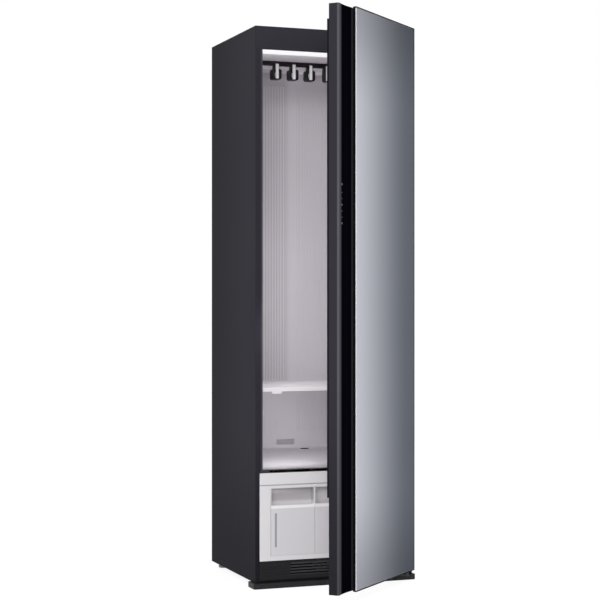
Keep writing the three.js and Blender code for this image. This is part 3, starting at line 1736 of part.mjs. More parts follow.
// What pulls out at the bottom, and the fan wheel
cabinet.add(
  piece("supply_tank", waterTank(tankLeft, false), "white"),
  piece("supply_tank_lid", tankLid(tankLeft), "greyPlastic"),
  piece("supply_level_window", levelWindow(tankLeft, false), "clear"),
  piece("drain_tank", waterTank(secondTankLeft, true), "white"),
  piece("drain_tank_lid", tankLid(secondTankLeft), "greyPlastic"),
  piece("drain_level_window", levelWindow(secondTankLeft, true), "clear"),
  piece("lint_filter", lintFilter(), "white"),
  piece("fan_wheel", fanWheel(), "blackTrim"),
);

// The door, turned open about its pins
const door = new THREE.Group();
door.position.set(hingeX, -hingeForward, 0);
door.rotation.z = THREE.MathUtils.degToRad(doorOpening);
const leaf = new THREE.Group();
leaf.position.set(-hingeX, hingeForward, 0);
leaf.add(
  piece("door_shell", doorShell(), "caseSteel"),
  piece("door_inner_panel", doorPanel(), "tub"),
  piece("door_seal", doorSeal(), "rubber"),
  piece("handle_strip", handleStrip(), "glossBlack"),
  piece("mirror_frame", mirrorFrame(), "blackTrim"),
  piece("mirror_glass", mirrorGlass(), "mirror"),
);
door.add(leaf);
cabinet.add(door);

export default cabinet;
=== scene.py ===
import math

import bmesh
import bpy
from mathutils import Matrix, Vector


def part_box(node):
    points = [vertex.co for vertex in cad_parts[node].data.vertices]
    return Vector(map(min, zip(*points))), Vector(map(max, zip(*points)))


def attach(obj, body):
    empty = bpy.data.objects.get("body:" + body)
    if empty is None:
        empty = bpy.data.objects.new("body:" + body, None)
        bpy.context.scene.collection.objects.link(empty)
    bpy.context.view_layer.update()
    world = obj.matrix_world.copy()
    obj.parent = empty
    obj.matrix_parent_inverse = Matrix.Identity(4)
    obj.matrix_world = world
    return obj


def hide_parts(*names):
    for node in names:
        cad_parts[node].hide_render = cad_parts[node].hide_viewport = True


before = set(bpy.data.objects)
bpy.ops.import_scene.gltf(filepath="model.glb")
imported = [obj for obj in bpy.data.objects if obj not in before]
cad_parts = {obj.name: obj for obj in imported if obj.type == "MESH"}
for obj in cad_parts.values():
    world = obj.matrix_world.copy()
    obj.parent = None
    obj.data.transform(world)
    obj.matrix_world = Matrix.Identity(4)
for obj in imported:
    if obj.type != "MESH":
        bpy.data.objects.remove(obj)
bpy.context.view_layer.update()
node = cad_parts


# Camera. It stands to the left of the cabinet, level with the middle of its height, so that the
# left side, the open front and the mirror of the open door all show.
camera_data = bpy.data.cameras.new("camera")
camera_data.sensor_width = 36
camera_data.lens = 96.2
camera = bpy.data.objects.new("camera", camera_data)
camera.location = (-2.0643, -5.2343, 0.9916)
camera.rotation_euler = (math.radians(90.046), 0, math.radians(-20.269))
bpy.context.scene.collection.objects.link(camera)
bpy.context.scene.camera = camera
bpy.context.scene.view_settings.view_transform = "Standard"


# Studio. A pale floor that keeps a faint shadow, a plain white surround, four soft lamps round the
# cabinet and three small ones inside it. A card that the camera can't see gives the mirror its
# fall from light to dark.
class Value:
    """A value that runs between the nodes of a finish and adds up like a number."""

    def __init__(self, finish, socket):
        self.finish = finish
        self.socket = socket

    def maths(self, operation, first, second=0.0):
        return self.finish.add("ShaderNodeMath", {"operation": operation}, {0: first, 1: second})

    def __add__(self, other):
        return self.maths("ADD", self, other)

    def __radd__(self, other):
        return self.maths("ADD", other, self)

    def __sub__(self, other):
        return self.maths("SUBTRACT", self, other)

    def __rsub__(self, other):
        return self.maths("SUBTRACT", other, self)

    def __mul__(self, other):
        return self.maths("MULTIPLY", self, other)

    def __rmul__(self, other):
        return self.maths("MULTIPLY", other, self)

    def __lt__(self, other):
        return self.maths("LESS_THAN", self, other)

    def __gt__(self, other):
        return self.maths("GREATER_THAN", self, other)

    def __abs__(self):
        return self.maths("ABSOLUTE", self)


class Finish:
    """One material: a plain surface and the nodes that vary it over a piece."""

    def __init__(self, name, colour, roughness=0.5, metallic=0.0, sockets=None):
        self.material = bpy.data.materials.new(name)
        self.material.use_nodes = True
        self.tree = self.material.node_tree
        self.surface = self.tree.nodes["Principled BSDF"]
        self.join(self.surface, {"Base Color": (*colour, 1), "Roughness": roughness})
        self.join(self.surface, {"Metallic": metallic, **(sockets or {})})

    def join(self, target, values):
        for name, value in values.items():
            if isinstance(value, Value):
                self.tree.links.new(value.socket, target.inputs[name])
            else:
                target.inputs[name].default_value = value

    def add(self, kind, settings=None, inputs=None, output=0):
        made = self.tree.nodes.new(kind)
        for name, value in (settings or {}).items():
            setattr(made, name, value)
        self.join(made, inputs or {})
        return Value(self, made.outputs[output])

    def place(self, turn=0.0, centre=(0, 0, 0)):
        spot = self.add("ShaderNodeTexCoord", output="Object")
        moved = self.add("ShaderNodeVectorMath", {"operation": "SUBTRACT"}, {0: spot, 1: centre})
        return self.add("ShaderNodeMapping", None, {"Vector": moved, "Rotation": (0, 0, turn)})

    def axis(self, spot, name):
        return self.add("ShaderNodeSeparateXYZ", None, {"Vector": spot}, name)

    def noise(self, spot, scale, detail=2.0):
        values = {"Vector": spot, "Scale": scale, "Detail": detail}
        return self.add("ShaderNodeTexNoise", None, values)

    def fall(self, value, start, end, first=0.0, last=1.0):
        values = {0: value, 1: start, 2: end, 3: first, 4: last}
        return self.add("ShaderNodeMapRange", {"interpolation_type": "SMOOTHSTEP"}, values)

    def blend(self, factor, first, second):
        ends = {6: first, 7: second}
        ends = {k: c if isinstance(c, Value) else (*c, 1) for k, c in ends.items()}
        return self.add("ShaderNodeMix", {"data_type": "RGBA"}, {0: factor, **ends}, 2)

    def vary(self, **values):
        self.join(self.surface, {name.replace("_", " "): v for name, v in values.items()})

    def relief(self, height, depth):
        bump = self.add("ShaderNodeBump", None, {"Height": height, "Distance": depth})
        self.vary(Normal=bump)


def tone(red, green, blue):
    """A screen colour from 0 to 255 as the linear colour that a surface takes."""
    return tuple(
        c / 12.92 if c <= 0.04045 else ((c + 0.055) / 1.055) ** 2.4
        for c in (red / 255, green / 255, blue / 255)
    )


def scaled(colour, share):
    return tuple(min(1.0, c * share) for c in colour)


def seen_directly(tree):
    """1 for what the camera sees straight, in a reflection or through glass."""
    rays = tree.nodes.new("ShaderNodeLightPath")
    result = rays.outputs["Is Camera Ray"]
    for other in ("Is Glossy Ray", "Is Transmission Ray"):
        either = tree.nodes.new("ShaderNodeMath")
        either.operation = "MAXIMUM"
        tree.links.new(result, either.inputs[0])
        tree.links.new(rays.outputs[other], either.inputs[1])
        result = either.outputs[0]
    return result


floor_size = 60
floor_finish = Finish("studio_floor", tone(225, 225, 226), 0.95, 0.0, {"Specular IOR Level": 0.0})
floor_tree = floor_finish.tree
shown = floor_tree.nodes.new("ShaderNodeBsdfPrincipled")
shown_values = {"Base Color": (0.2, 0.2, 0.2, 1), "Roughness": 1.0, "Specular IOR Level": 0.0}
shown_glow = {"Emission Color": (1, 1, 1, 1), "Emission Strength": 0.9}
floor_finish.join(shown, {**shown_values, **shown_glow})
floor_mix = floor_tree.nodes.new("ShaderNodeMixShader")
floor_tree.links.new(seen_directly(floor_tree), floor_mix.inputs[0])
floor_tree.links.new(floor_finish.surface.outputs[0], floor_mix.inputs[1])
floor_tree.links.new(shown.outputs[0], floor_mix.inputs[2])
floor_tree.links.new(floor_mix.outputs[0], floor_tree.nodes["Material Output"].inputs["Surface"])
floor_mesh = bmesh.new()
bmesh.ops.create_grid(floor_mesh, x_segments=1, y_segments=1, size=floor_size / 2)
floor_data = bpy.data.meshes.new("studio_floor")
floor_mesh.to_mesh(floor_data)
floor_mesh.free()
floor_data.materials.append(floor_finish.material)
floor = bpy.data.objects.new("studio_floor", floor_data)
floor.visible_glossy = False
bpy.context.scene.collection.objects.link(floor)

world = bpy.data.worlds.new("studio")
bpy.context.scene.world = world
world.use_nodes = True
world_tree = world.node_tree
surround = world_tree.nodes["Background"]
surround.inputs["Color"].default_value = (1, 1, 1, 1)
surround.inputs["Strength"].default_value = 0.55
backdrop = world_tree.nodes.new("ShaderNodeBackground")
backdrop.inputs["Color"].default_value = (1, 1, 1, 1)
backdrop.inputs["Strength"].default_value = 1.0
world_mix = world_tree.nodes.new("ShaderNodeMixShader")
world_tree.links.new(seen_directly(world_tree), world_mix.inputs[0])
world_tree.links.new(surround.outputs[0], world_mix.inputs[1])
world_tree.links.new(backdrop.outputs[0], world_mix.inputs[2])
world_tree.links.new(world_mix.outputs[0], world_tree.nodes["World Output"].inputs["Surface"])

ceiling_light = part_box("light_diffuser")
light_middle = (ceiling_light[0] + ceiling_light[1]) / 2
room_aim = (0, 0.2, 1.0)
inside_spot = (light_middle[0] - 0.1, light_middle[1], ceiling_light[0][2] - 0.004)
inside_aim = (light_middle[0] - 0.12, light_middle[1] + 0.25, 0.9)
for lamp_name, spot, aim, size, power in (
    ("lamp_left", (-2.6, -3.9, 2.8), room_aim, (2.4, 2.4), 80),
    ("lamp_right", (3.4, -3.4, 2.6), room_aim, (2.4, 2.4), 60),
    ("lamp_back", (1.5, 4.2, 3.2), room_aim, (2.6, 2.6), 60),
    ("lamp_low", (-1.3, -3.2, 0.9), (0, 0.3, 0.45), (1.0, 1.0), 22),
    ("lamp_inside", inside_spot, inside_aim, (0.3, 0.06), 0.55),
    ("lamp_chamber", (-0.16, 0.02, 1.06), (-0.18, 0.5, 0.9), (0.2, 0.5), 0.66),
    ("lamp_shelf", (-0.14, 0.03, 0.54), (-0.18, 0.5, 0.52), (0.2, 0.14), 0.42),
):
    lamp_data = bpy.data.lights.new(lamp_name, "AREA")
    lamp_data.shape = "RECTANGLE"
    lamp_data.size = size[0]
    lamp_data.size_y = size[1]
    lamp_data.energy = power
    lamp = bpy.data.objects.new(lamp_name, lamp_data)
    lamp.location = spot
    lamp.rotation_euler = (Vector(spot) - Vector(aim)).to_track_quat("Z", "Y").to_euler()
    lamp.visible_camera = False
    lamp.visible_glossy = False
    bpy.context.scene.collection.objects.link(lamp)

card_centre = Vector((3.3, 0.75, 1.0))
card_size = (3.6, 4.6)
card_light = (0.76, 0.75, 0.79)
card_dark = (0.138, 0.148, 0.17)
card_dark_start = -0.16
card_dark_end = 0.28
card_dim = 0.6
card_dim_start = 1.0
card_dim_end = 1.65
card_sockets = {"Specular IOR Level": 0.0, "Emission Strength": 1.0}
card_finish = Finish("mirror_card", (0, 0, 0), 1.0, 0.0, card_sockets)
card_spot = card_finish.place(centre=tuple(card_centre))
card_across = card_finish.axis(card_spot, "Y")
card_across = card_finish.fall(card_across, card_dark_start, card_dark_end)
card_upright = abs(card_finish.axis(card_spot, "Z"))
card_upright = card_finish.fall(card_upright, card_dim_start, card_dim_end)
card_full = card_finish.blend(card_across, card_light, card_dark)
card_low = card_finish.blend(
    card_across, scaled(card_light, card_dim), scaled(card_dark, card_dim)
)
card_finish.vary(Emission_Color=card_finish.blend(card_upright, card_full, card_low))
card_mesh = bmesh.new()
card_turn = Matrix.Rotation(math.radians(-90), 4, "Y")
card_spread = Matrix.Diagonal((card_size[1], card_size[0], 1, 1))
bmesh.ops.create_grid(
    card_mesh,
    x_segments=1,
    y_segments=1,
    size=0.5,
    matrix=Matrix.Translation(card_centre) @ card_turn @ card_spread,
)
card_data = bpy.data.meshes.new("mirror_card")
card_mesh.to_mesh(card_data)
card_mesh.free()
card_data.materials.append(card_finish.material)
card = bpy.data.objects.new("mirror_card", card_data)
card.visible_camera = False
card.visible_diffuse = False
card.visible_shadow = False
card.visible_transmission = False
bpy.context.scene.collection.objects.link(card)


# Case. The sides, the top and the band over the chamber are thin folded steel sheet, powder coated
# in a dark charcoal with a very fine orange peel. The sides carry painted shade: their colour is
# darker towards the back and near the floor.
def dress(finish, *names):
    for name in names:
        if not node[name].material_slots:
            node[name].data.materials.append(None)
        for slot in node[name].material_slots:
            slot.material = finish.material


def finished(shape, name, finish, body, slot, *replaced, smooth=38):
    """A mesh made into a piece that rides on a body and may stand for the frame's own nodes."""
    data = bpy.data.meshes.new(name)
    shape.to_mesh(data)
    shape.free()
    data.materials.append(finish.material)
    data.shade_smooth()
    data.set_sharp_from_angle(angle=math.radians(smooth))
    made = bpy.data.objects.new(name, data)
    bpy.context.scene.collection.objects.link(made)
    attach(made, body)
    if replaced:
        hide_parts(*replaced)
    return made


def eased(name, edge, finish, body, slot, segments=2):
    """The frame's own node with its sharp edges broken by a small round."""
    shape = bmesh.new()
    shape.from_mesh(node[name].data)
    bmesh.ops.remove_doubles(shape, verts=shape.verts, dist=0.00001)
    flat = math.radians(0.5)
    bmesh.ops.dissolve_limit(shape, angle_limit=flat, verts=shape.verts, edges=shape.edges)
    made = finished(shape, name + "_eased", finish, body, slot, name)
    rounding = made.modifiers.new("edge", "BEVEL")
    rounding.width = edge
    rounding.segments = segments
    rounding.limit_method = "ANGLE"
    rounding.angle_limit = math.radians(40)
    rounding.harden_normals = True
    return made


def coated(name, colour, roughness, peel=0.00006, shade=0.05, sockets=None):
    finish = Finish(name, colour, roughness, 0.0, sockets)
    spot = finish.place()
    cloud = finish.noise(spot, 2.2, 3)
    skin = finish.noise(spot, 420, 2)
    finish.vary(
        Base_Color=finish.blend(cloud, scaled(colour, 1 - shade), scaled(colour, 1 + shade)),
        Roughness=roughness + (cloud - 0.5) * 0.1,
    )
    finish.relief(skin, peel)
    return finish


sheet_edge = 0.0004
charcoal = coated("charcoal_coat", tone(52, 51, 57), 0.55, sockets={"Specular IOR Level": 0.04})
for panel in ("top_panel", "top_fascia"):
    eased(panel, sheet_edge, charcoal, "case", "case_steel")
side_coat = coated("side_coat", tone(46, 45, 52), 0.55, sockets={"Specular IOR Level": 0.018})
side_spot = side_coat.place()
# Painted shade: the sides' colour falls darker towards the back and towards the floor.
side_reach = 0.6
side_painted_back_shade = side_coat.fall(side_coat.axis(side_spot, "Y"), 0.0, side_reach, 1.0, 0.25)
side_painted_floor_shade = side_coat.fall(side_coat.axis(side_spot, "Z"), 0.0, side_reach)
side_painted_shade_and_tone = side_painted_back_shade * side_painted_floor_shade + side_coat.noise(side_spot, 2.2, 3) * 0.1
side_coat.vary(Base_Color=side_coat.blend(side_painted_shade_and_tone, tone(33, 32, 38), tone(50, 49, 56)))
for panel in ("left_side_panel", "right_side_panel"):
    eased(panel, sheet_edge, side_coat, "case", "case_steel")


# Base plate, pan and feet. The plate is a black moulding, the pan a dark coated tray, and each
# foot a moulded pad on a threaded stem that screws into the pan.
def moulded(name, colour, roughness, grain=0.00003, shade=0.03, sockets=None):
    finish = Finish(name, colour, roughness, 0.0, sockets)
    spot = finish.place()
    cloud = finish.noise(spot, 5, 3)
    skin = finish.noise(spot, 1100, 2)
    finish.vary(
        Base_Color=finish.blend(cloud, scaled(colour, 1 - shade), scaled(colour, 1 + shade)),
        Roughness=roughness + (cloud - 0.5) * 0.12,
    )
    finish.relief(skin, grain)
    return finish


def turned(profile, centre, steps=32):
    """A lathe shape: (radius, height) pairs from the axis and back to it."""
    shape = bmesh.new()
    points = [shape.verts.new(Vector(centre) + Vector((r, 0, h))) for r, h in profile]
    edges = [shape.edges.new(pair) for pair in zip(points, points[1:])]
    bmesh.ops.spin(
        shape,
        geom=points + edges,
        cent=centre,
        axis=(0, 0, 1),
        angle=math.tau,
        steps=steps,
        use_merge=True,
    )
    bmesh.ops.remove_doubles(shape, verts=shape.verts, dist=0.00001)
    bmesh.ops.recalc_face_normals(shape, faces=shape.faces)
    return shape


dull = {"Specular IOR Level": 0.2}
black = moulded("black_moulding", tone(28, 28, 30), 0.5, 0.00005, 0.06, dull)
plate_black = moulded("plate_moulding", tone(38, 38, 40), 0.5, 0.00005, 0.06, dull)
eased("base_plate", 0.0012, plate_black, "case", "black_plastic", 3)
pan_coat = coated("pan_coat", tone(10, 10, 11), 0.55, sockets=dull)
dress(pan_coat, "base_pan")
foot_finish = moulded("foot_moulding", tone(168, 168, 170), 0.5)
pad_edge = 0.001
pad_height = 0.008
flare = 0.0095
flare_height = 0.0115
neck = 0.009
stem = 0.005
shoulder = 0.014
thread_depth = 0.0006
thread_pitch = 0.0016
thread_start = 0.0005
thread_end = 0.001
for corner in ("front_left", "front_right", "rear_left", "rear_right"):
    low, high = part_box(corner + "_foot")
    pad = (high[0] - low[0]) / 2
    tall = high[2]
    profile = [(0, 0), (pad - pad_edge, 0), (pad, pad_edge)]
    profile += [(pad, pad_height - pad_edge), (pad - pad_edge, pad_height)]
    profile += [(flare, flare_height), (neck, shoulder), (stem, shoulder)]
    turns = int((tall - shoulder - thread_end) / thread_pitch)
    for turn in range(turns):
        height = shoulder + thread_start + turn * thread_pitch
        profile += [(stem - thread_depth, height + thread_pitch / 4)]
        profile += [(stem, height + thread_pitch * 3 / 4)]
    profile += [(stem - thread_depth, tall), (0, tall)]
    middle = ((low[0] + high[0]) / 2, (low[1] + high[1]) / 2, 0)
    foot = turned(profile, middle)
    finished(foot, corner + "_foot_turned", foot_finish, "case", "grey_plastic", corner + "_foot")


# Back. The rear sheet is bare galvanised steel with a faint spangle. The cover over the machine
# is pressed and coated black, held by screws near its edges, with a rubber bushing low down.
def bare_metal(name, colour, roughness, scale=90.0):
    finish = Finish(name, colour, roughness, 0.9)
    spot = finish.place()
    values = {"Vector": spot, "Scale": scale}
    spangle = finish.add("ShaderNodeTexVoronoi", None, values, "Distance")
    cloud = finish.noise(spot, 30, 3)
    finish.vary(
        Base_Color=finish.blend(spangle * 0.8, scaled(colour, 0.85), scaled(colour, 1.1)),
        Roughness=roughness - 0.1 + cloud * 0.2,
    )
    finish.relief(cloud, 0.00003)
    return finish


def screw_heads(places, radius, facing):
    """Pan heads with a round socket, all in one mesh, each facing out of its sheet."""
    height = radius * 0.55
    socket = radius * 0.4
    profile = [(0, 0), (radius, 0), (radius, height * 0.5), (radius * 0.8, height)]
    profile += [(socket, height), (socket * 0.9, height * 0.4), (0, height * 0.4)]
    heads = bmesh.new()
    for place in places:
        head = turned(profile, (0, 0, 0), 16)
        turn = Vector((0, 0, 1)).rotation_difference(Vector(facing)).to_matrix().to_4x4()
        bmesh.ops.transform(head, matrix=Matrix.Translation(place) @ turn, verts=head.verts)
        data = bpy.data.meshes.new("head")
        head.to_mesh(data)
        head.free()
        heads.from_mesh(data)
        bpy.data.meshes.remove(data)
    return heads


galvanised = bare_metal("galvanised_sheet", tone(176, 178, 181), 0.42)
dress(galvanised, "back_panel")
cover_coat = coated("cover_coat", tone(38, 38, 41), 0.5)
eased("rear_cover", sheet_edge, cover_coat, "case", "black_machine")
rubber = moulded("black_rubber", tone(24, 24, 27), 0.8, 0.00006, 0.08, {"Specular IOR Level": 0.1})
eased("power_gland", 0.0008, rubber, "case", "seal_rubber")
screw_steel = bare_metal("screw_steel", tone(150, 152, 155), 0.35, 400.0)
screw_radius = 0.004
cover_low, cover_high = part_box("rear_cover")
back_low, back_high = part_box("back_panel")
inset = 0.012
cover_screws = [
    (x, cover_high[1], z)
    for x in (cover_low[0] + inset, 0, cover_high[0] - inset)
    for z in (cover_low[2] + inset, cover_high[2] - inset)
]
sheet_screws = [
    (side * (back_high[0] - inset), back_high[1], back_low[2] + share * (back_high[2] - back_low[2]))
    for side in (-1, 1)
    for share in (0.24, 0.43, 0.62, 0.81, 0.99)
]
heads = screw_heads(cover_screws + sheet_screws, screw_radius, (0, 1, 0))
finished(heads, "rear_screws", screw_steel, "case", "plated_steel")


# Front frame and kick grille. The trim round the opening is a dark moulding with a fine grain,
# and the grille at the foot of the case is black with deep louvres in its middle.
trim = moulded("trim_moulding", tone(65, 64, 69), 0.5, 0.00004, 0.04, dull)
eased("front_frame", 0.0006, trim, "case", "dark_trim")
louvre_black = moulded("louvre_moulding", tone(28, 28, 30), 0.5, 0.00005, 0.06, dull)
# The louvres are painted lighter than the rest of the grille, a painted highlight on their slats.
louvre_spot = louvre_black.place()
louvre_half = 0.165
louvre_low = 0.042
louvre_high = 0.0845
louvre_painted_highlight = abs(louvre_black.axis(louvre_spot, "X")) < louvre_half
louvre_painted_highlight = louvre_painted_highlight * (louvre_black.axis(louvre_spot, "Z") > louvre_low)
louvre_painted_highlight = louvre_painted_highlight * (louvre_black.axis(louvre_spot, "Z") < louvre_high)
louvre_black.vary(Base_Color=louvre_black.blend(louvre_painted_highlight, tone(28, 28, 30), tone(58, 58, 60)))
eased("kick_grille", 0.0004, louvre_black, "case", "black_plastic")


# White front. The lower panel and the strip over it are moulded in a white plastic with a soft
# sheen, and clip to the case at their edges.
white = moulded("white_moulding", tone(233, 231, 233), 0.38)
eased("lower_front_panel", 0.0007, white, "case", "white_plastic")
strip_white = moulded("strip_moulding", tone(234, 232, 234), 0.38)
# A thin band along the strip's lower edge is painted darker: painted shade in the seam above the
# lower panel.
seam_rise = 0.001
seam_half = 0.0018
seam_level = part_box("upper_front_strip")[0][2] + seam_rise
seam_painted_shade = abs(strip_white.axis(strip_white.place(), "Z") - seam_level) < seam_half
strip_white.vary(Base_Color=strip_white.blend(seam_painted_shade, tone(234, 232, 234), tone(160, 158, 162)))
eased("upper_front_strip", 0.0007, strip_white, "case", "white_plastic")


# Water tanks. Each is a hollow white moulding with a rounded lip for the fingers, a grey lid
# with a round cap, and a narrow clear window that shows the level. They slide in a grey bay.
grey = moulded("grey_moulding", tone(140, 141, 146), 0.5)
dress(grey, "tank_bay")
clear = moulded("window_moulding", tone(158, 168, 170), 0.15, 0.00001, 0.05)
tank_white = moulded("tank_moulding", tone(218, 215, 219), 0.36)
tank_spot = tank_white.place()
tank_low, tank_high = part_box("supply_tank")
recess_height = 0.058
lip_top = tank_high[2] - recess_height
lip_drop = 0.013
lip_round = 0.004
front_wall = 0.006
tank_gap = 0.001
cheek_edge = 0.0014
floor_light = (lip_top + 0.003, lip_top + 0.019)
corner_light = (lip_top + 0.033, lip_top + 0.045)
tank_height = tank_white.axis(tank_spot, "Z")
# Painted highlight: the rounded lip and the band just under it are painted near white.
lip_painted_highlight = tank_white.fall(tank_height, lip_top - lip_drop, lip_top - lip_drop + lip_round)
# Painted shade and light in the finger recess: it is painted darker, lighter near its floor and at
# its upper corner, and lighter in the drain tank, where the door shades it.
recess = tank_white.axis(tank_spot, "Y") > tank_low[1] + front_wall
recess = recess * (tank_height > lip_top - lip_round)
pair_middle = tank_high[0] + tank_gap / 2
tank_pitch = tank_high[0] - tank_low[0] + tank_gap
from_middle = abs(tank_white.axis(tank_spot, "X") - pair_middle)
recess = recess * (abs(from_middle - tank_pitch / 2) < tank_pitch / 2 - cheek_edge)
tank_front_with_painted_highlight = tank_white.blend(lip_painted_highlight, tone(224, 221, 225), tone(252, 251, 252))
drain_side = tank_white.axis(tank_spot, "X") > pair_middle
recess_floor_painted_light = tank_white.fall(tank_height, *floor_light, 1.0, 0.0)
recess_corner_painted_light = tank_white.fall(tank_height, *corner_light)
recess_corner_painted_light = recess_corner_painted_light * tank_white.fall(
    tank_white.axis(tank_spot, "X"), tank_low[0], tank_high[0], 1.0, 0.0
)
supply_recess_painted_light_and_shade = tank_white.blend(
    recess_floor_painted_light + recess_corner_painted_light, tone(188, 184, 188), tone(230, 226, 230)
)
recess_painted_light_and_shade = tank_white.blend(drain_side, supply_recess_painted_light_and_shade, tone(222, 218, 222))
tank_white.vary(Base_Color=tank_white.blend(recess, tank_front_with_painted_highlight, recess_painted_light_and_shade))
for body in ("supply", "drain"):
    eased(body + "_tank", 0.0008, tank_white, body, "white_plastic", 3)
    eased(body + "_tank_lid", 0.0006, grey, body, "grey_plastic")
    eased(body + "_level_window", 0.0004, clear, body, "clear_plastic")


# Lint filter. A white frame with a grip groove carries a fine woven screen of plastic thread.
eased("lint_filter", 0.0004, white, "filter", "white_plastic")
filter_low, filter_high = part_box("lint_filter")
screen = bmesh.new()
screen_edge = 0.006
screen_length = 0.112
screen_set = 0.066
screen_size = (filter_high[0] - filter_low[0] - 2 * screen_edge, screen_length)
screen_middle = Vector((0, filter_low[1] + screen_set, (filter_low[2] + filter_high[2]) / 2))
bmesh.ops.create_grid(
    screen,
    x_segments=48,
    y_segments=28,
    size=0.5,
    matrix=Matrix.Translation(screen_middle) @ Matrix.Diagonal((*screen_size, 1, 1)),
)
thread = moulded("screen_thread", tone(96, 98, 104), 0.6)
net = finished(screen, "filter_screen", thread, "filter", "white_plastic")
weave = net.modifiers.new("thread", "WIREFRAME")
weave.thickness = 0.0006
weave.use_replace = True


# Chamber. The tub is one large moulding in a light warm grey, with ribs up its rear wall and
# ledges for the shelf. The air outlet, the steam outlet and the lit diffuser clip into it.
tub = moulded("tub_moulding", tone(205, 201, 206), 0.42)
tub_spot = tub.place()
ceiling_start = 1.848
ceiling_end = 1.853
groove_back = 0.4592
groove_fade = -0.03
tub_height = tub.axis(tub_spot, "Z")
tub_cloud = tub.noise(tub_spot, 5, 3)
tub_wall = tub.blend(tub_cloud, tone(202, 198, 203), tone(208, 204, 209))
# Painted light: the tub's ceiling beside the lamp is painted near white.
tub_ceiling_painted_light = tub.fall(tub_height, ceiling_start, ceiling_end)
tub_wall = tub.blend(tub_ceiling_painted_light, tub_wall, tone(253, 249, 253))
# Painted shade: the grooves between the ribs of the rear wall are painted darker, fading out to the
# right.
groove_painted_shade = (tub.axis(tub_spot, "Y") > groove_back) * (tub_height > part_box("shelf")[1][2])
groove_painted_shade = groove_painted_shade * tub.fall(tub.axis(tub_spot, "X"), groove_fade, 0.0, 0.45, 0.0)
tub.vary(Base_Color=tub.blend(groove_painted_shade, tub_wall, tone(160, 156, 162)))
dress(tub, "chamber_liner")
felt = moulded("insulation_felt", tone(226, 218, 196), 0.95, 0.0004, 0.12)
dress(felt, "foam_jacket")
outlet = moulded("outlet_moulding", tone(186, 184, 188), 0.5)
dress(outlet, "air_outlet_grille")
eased("steam_outlet", 0.0004, black, "case", "black_plastic")
diffuser = Finish("lamp_diffuser", (0.2, 0.2, 0.2), 0.5, 0.0, {"Emission Strength": 1.0})
diffuser_spot = diffuser.place(centre=tuple(light_middle))
glow_start = 0.015
glow_end = 0.03
rear_glow = diffuser.fall(diffuser.axis(diffuser_spot, "Y"), glow_start, glow_end)
diffuser.vary(Emission_Color=diffuser.blend(rear_glow, (0.85, 0.85, 0.86), (0.46, 0.44, 0.46)))
eased("light_diffuser", 0.0004, diffuser, "case", "light_plastic")


# Shelf. A white moulding with a rim and rows of slots, which lies loose on the tub's ledges.
shelf_finish = moulded("shelf_moulding", tone(238, 236, 238), 0.42)
eased("shelf", 0.0008, shelf_finish, "case", "white_plastic")


# Hanger rail, bar and hooks. A black channel under the ceiling carries a bar that shakes to and
# fro. Each hook is a black block with a window, and a pale plate that shows where to hang.
satin = {"Specular IOR Level": 0.3}
rail_finish = moulded("rail_moulding", tone(13, 13, 15), 0.45, 0.00003, 0.05, satin)
eased("hanger_rail", 0.0004, rail_finish, "case", "black_plastic")
eased("hanger_bar", 0.0005, rail_finish, "hanger", "black_plastic")
hook_finish = moulded("hook_moulding", tone(24, 24, 26), 0.45, sockets=satin)
hook_spot = hook_finish.place()
plate_back = 0.2434
plate_mask = hook_finish.axis(hook_spot, "Y") < plate_back
hook_finish.vary(Base_Color=hook_finish.blend(plate_mask, tone(16, 16, 18), tone(204, 202, 205)))
for number in range(1, 6):
    eased("hanger_hook_" + str(number), 0.0012, hook_finish, "hanger", "black_plastic", 3)


# Machine. Behind the tanks stand the coils, the fan, the compressor, the boiler and the pumps, on
# a pan and a folded shelf of galvanised steel. The drive of the hanger bar sits over the tub.
dress(galvanised, "machine_shelf", "drive_lever", "steam_generator")
dress(cover_coat, "compressor", "hanger_motor", "fan_motor")
dress(black, "fan_wheel")
dress(grey, "control_box", "fan_housing", "supply_pump", "drain_pump", "steam_pipe")
fins = bare_metal("coil_fins", tone(190, 190, 192), 0.35)
dress(fins, "evaporator", "condenser")


# Door. A folded and coated steel shell with a light inner panel and a black rubber seal. A gloss
# black handle strip runs down its free edge, beside a tinted mirror in a dark frame.
door_turn = math.radians(42.64)
hinge = Vector((0.255, -0.0441, 0))
shell_coat = coated("door_coat", tone(50, 49, 55), 0.5, sockets={"Specular IOR Level": 0.04})
shell_spot = shell_coat.place(turn=-door_turn, centre=tuple(hinge))
free_edge = -0.555
# Painted highlight: the rounded front edge at the shell's free end is painted lighter.
bead_across = (free_edge + 0.002, free_edge + 0.009)
bead_deep = (0.003, 0.008)
shade_top = 0.75
edge_side = shell_coat.fall(shell_coat.axis(shell_spot, "X"), *bead_across, 1.0, 0.0)
edge_front = shell_coat.fall(shell_coat.axis(shell_spot, "Y"), *bead_deep, 1.0, 0.0)
shell_cloud = shell_coat.noise(shell_spot, 2.2, 3)
shell_tone = shell_coat.blend(shell_cloud, tone(48, 47, 53), tone(52, 51, 57))
# Painted shade: the shell and its bead are painted darker towards the floor.
shell_painted_floor_shade = shell_coat.fall(shell_coat.axis(shell_spot, "Z"), 0.0, shade_top)
shell_tone = shell_coat.blend(shell_painted_floor_shade, tone(38, 37, 42), shell_tone)
bead_painted_highlight = shell_coat.blend(shell_painted_floor_shade, tone(70, 70, 75), tone(86, 86, 91))
shell_coat.vary(Base_Color=shell_coat.blend(edge_side * edge_front, shell_tone, bead_painted_highlight))
eased("door_shell", sheet_edge, shell_coat, "door", "case_steel")
panel_finish = moulded("panel_moulding", tone(205, 201, 206), 0.42)
eased("door_inner_panel", 0.001, panel_finish, "door", "tub_plastic")
eased("door_seal", 0.001, rubber, "door", "seal_rubber", 3)
frame_finish = moulded("frame_moulding", tone(12, 12, 14), 0.4, 0.00002, 0.05, dull)
eased("mirror_frame", 0.0005, frame_finish, "door", "black_plastic")

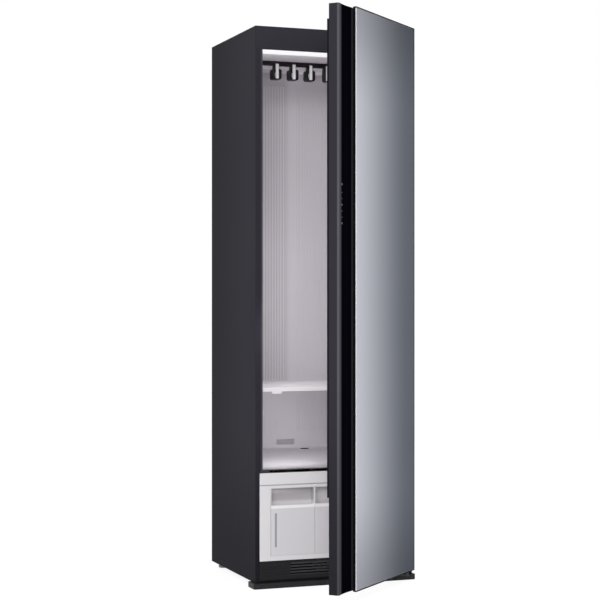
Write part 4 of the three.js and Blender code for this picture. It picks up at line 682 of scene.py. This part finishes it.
strip_black = tone(4, 3, 7)
strip_gloss = {"Specular IOR Level": 0.001}
strip_finish = Finish("strip_gloss", strip_black, 0.12, 0.0, strip_gloss)
strip_spot = strip_finish.place(turn=-door_turn, centre=tuple(hinge))
strip_across = strip_finish.axis(strip_spot, "X")
strip_height = strip_finish.axis(strip_spot, "Z")
mark_place = -0.525
large_mark = 0.0032
small_mark = 0.0018
mark_levels = (1.245, 1.265, 1.285, 1.305, 1.325, 1.345, 1.372)
marks = 0.0
for number, level in enumerate(mark_levels):
    radius = large_mark if number % 3 == 0 else small_mark
    near = abs(strip_across - mark_place) < radius
    level_near = abs(strip_height - level) < radius
    marks = near * level_near + marks
# Besides a faint dust, the strip is painted lighter fading in from the free edge and in a narrow
# band at its mirror end: painted highlights.
edge_fade = (free_edge + 0.008, free_edge + 0.032)
end_fade = (free_edge + 0.096, free_edge + 0.1)
strip_cloud = strip_finish.noise(strip_spot, 14, 2)
dust_and_painted_sheen = strip_finish.blend(strip_cloud, strip_black, scaled(strip_black, 1.6))
strip_edge_painted_highlight = strip_finish.fall(strip_across, *edge_fade, 1.0, 0.0)
dust_and_painted_sheen = strip_finish.blend(strip_edge_painted_highlight, dust_and_painted_sheen, tone(78, 78, 84))
strip_end_painted_highlight = strip_finish.fall(strip_across, *end_fade)
dust_and_painted_sheen = strip_finish.blend(strip_end_painted_highlight, dust_and_painted_sheen, tone(38, 38, 41))
strip_finish.vary(
    Base_Color=strip_finish.blend(marks, dust_and_painted_sheen, tone(120, 120, 126)),
    Roughness=0.1 + strip_cloud * 0.05,
)
eased("handle_strip", 0.0004, strip_finish, "door", "gloss_black")

mirror_colour = (0.81, 0.84, 0.875)
mirror = Finish("mirror_glass", mirror_colour, 0.05, 1.0)
mirror_spot = mirror.place(turn=-door_turn, centre=tuple(hinge))
mirror_cloud = mirror.noise(mirror_spot, 3, 2)
glass_end = -0.4465
glass_rim = 0.479
end_mask = mirror.axis(mirror_spot, "X") < glass_end
hinge_edge = mirror.axis(mirror_spot, "X") > glass_end + glass_rim
tint = mirror.blend(mirror_cloud, scaled(mirror_colour, 0.985), scaled(mirror_colour, 1.015))
tint = mirror.blend(end_mask, tint, tone(226, 226, 230))
mirror.vary(
    Base_Color=mirror.blend(hinge_edge, tint, (0.2, 0.2, 0.22)),
    Metallic=1 - end_mask,
    Roughness=0.04 + mirror_cloud * 0.02,
)
eased("mirror_glass", 0.0007, mirror, "door", "mirror")


# Hinge arms. Two steel plates, one at the top of the case and one at its foot, carry the pins of
# the door. The upper one is plated and held by two screws, and the lower one is coated black.
plated = bare_metal("plated_arm", tone(120, 121, 124), 0.4, 160.0)
eased("top_hinge_arm", 0.0005, plated, "case", "plated_steel")
eased("bottom_hinge_arm", 0.0005, cover_coat, "case", "plated_steel")
arm_low, arm_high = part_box("top_hinge_arm")
arm_middle = arm_low[0] + 0.017
arm_screw_radius = 0.0045
arm_screws = [(arm_middle, y, arm_high[2]) for y in (0.02, 0.045)]
arm_heads = screw_heads(arm_screws, arm_screw_radius, (0, 0, 1))
finished(arm_heads, "hinge_screws", screw_steel, "case", "plated_steel")
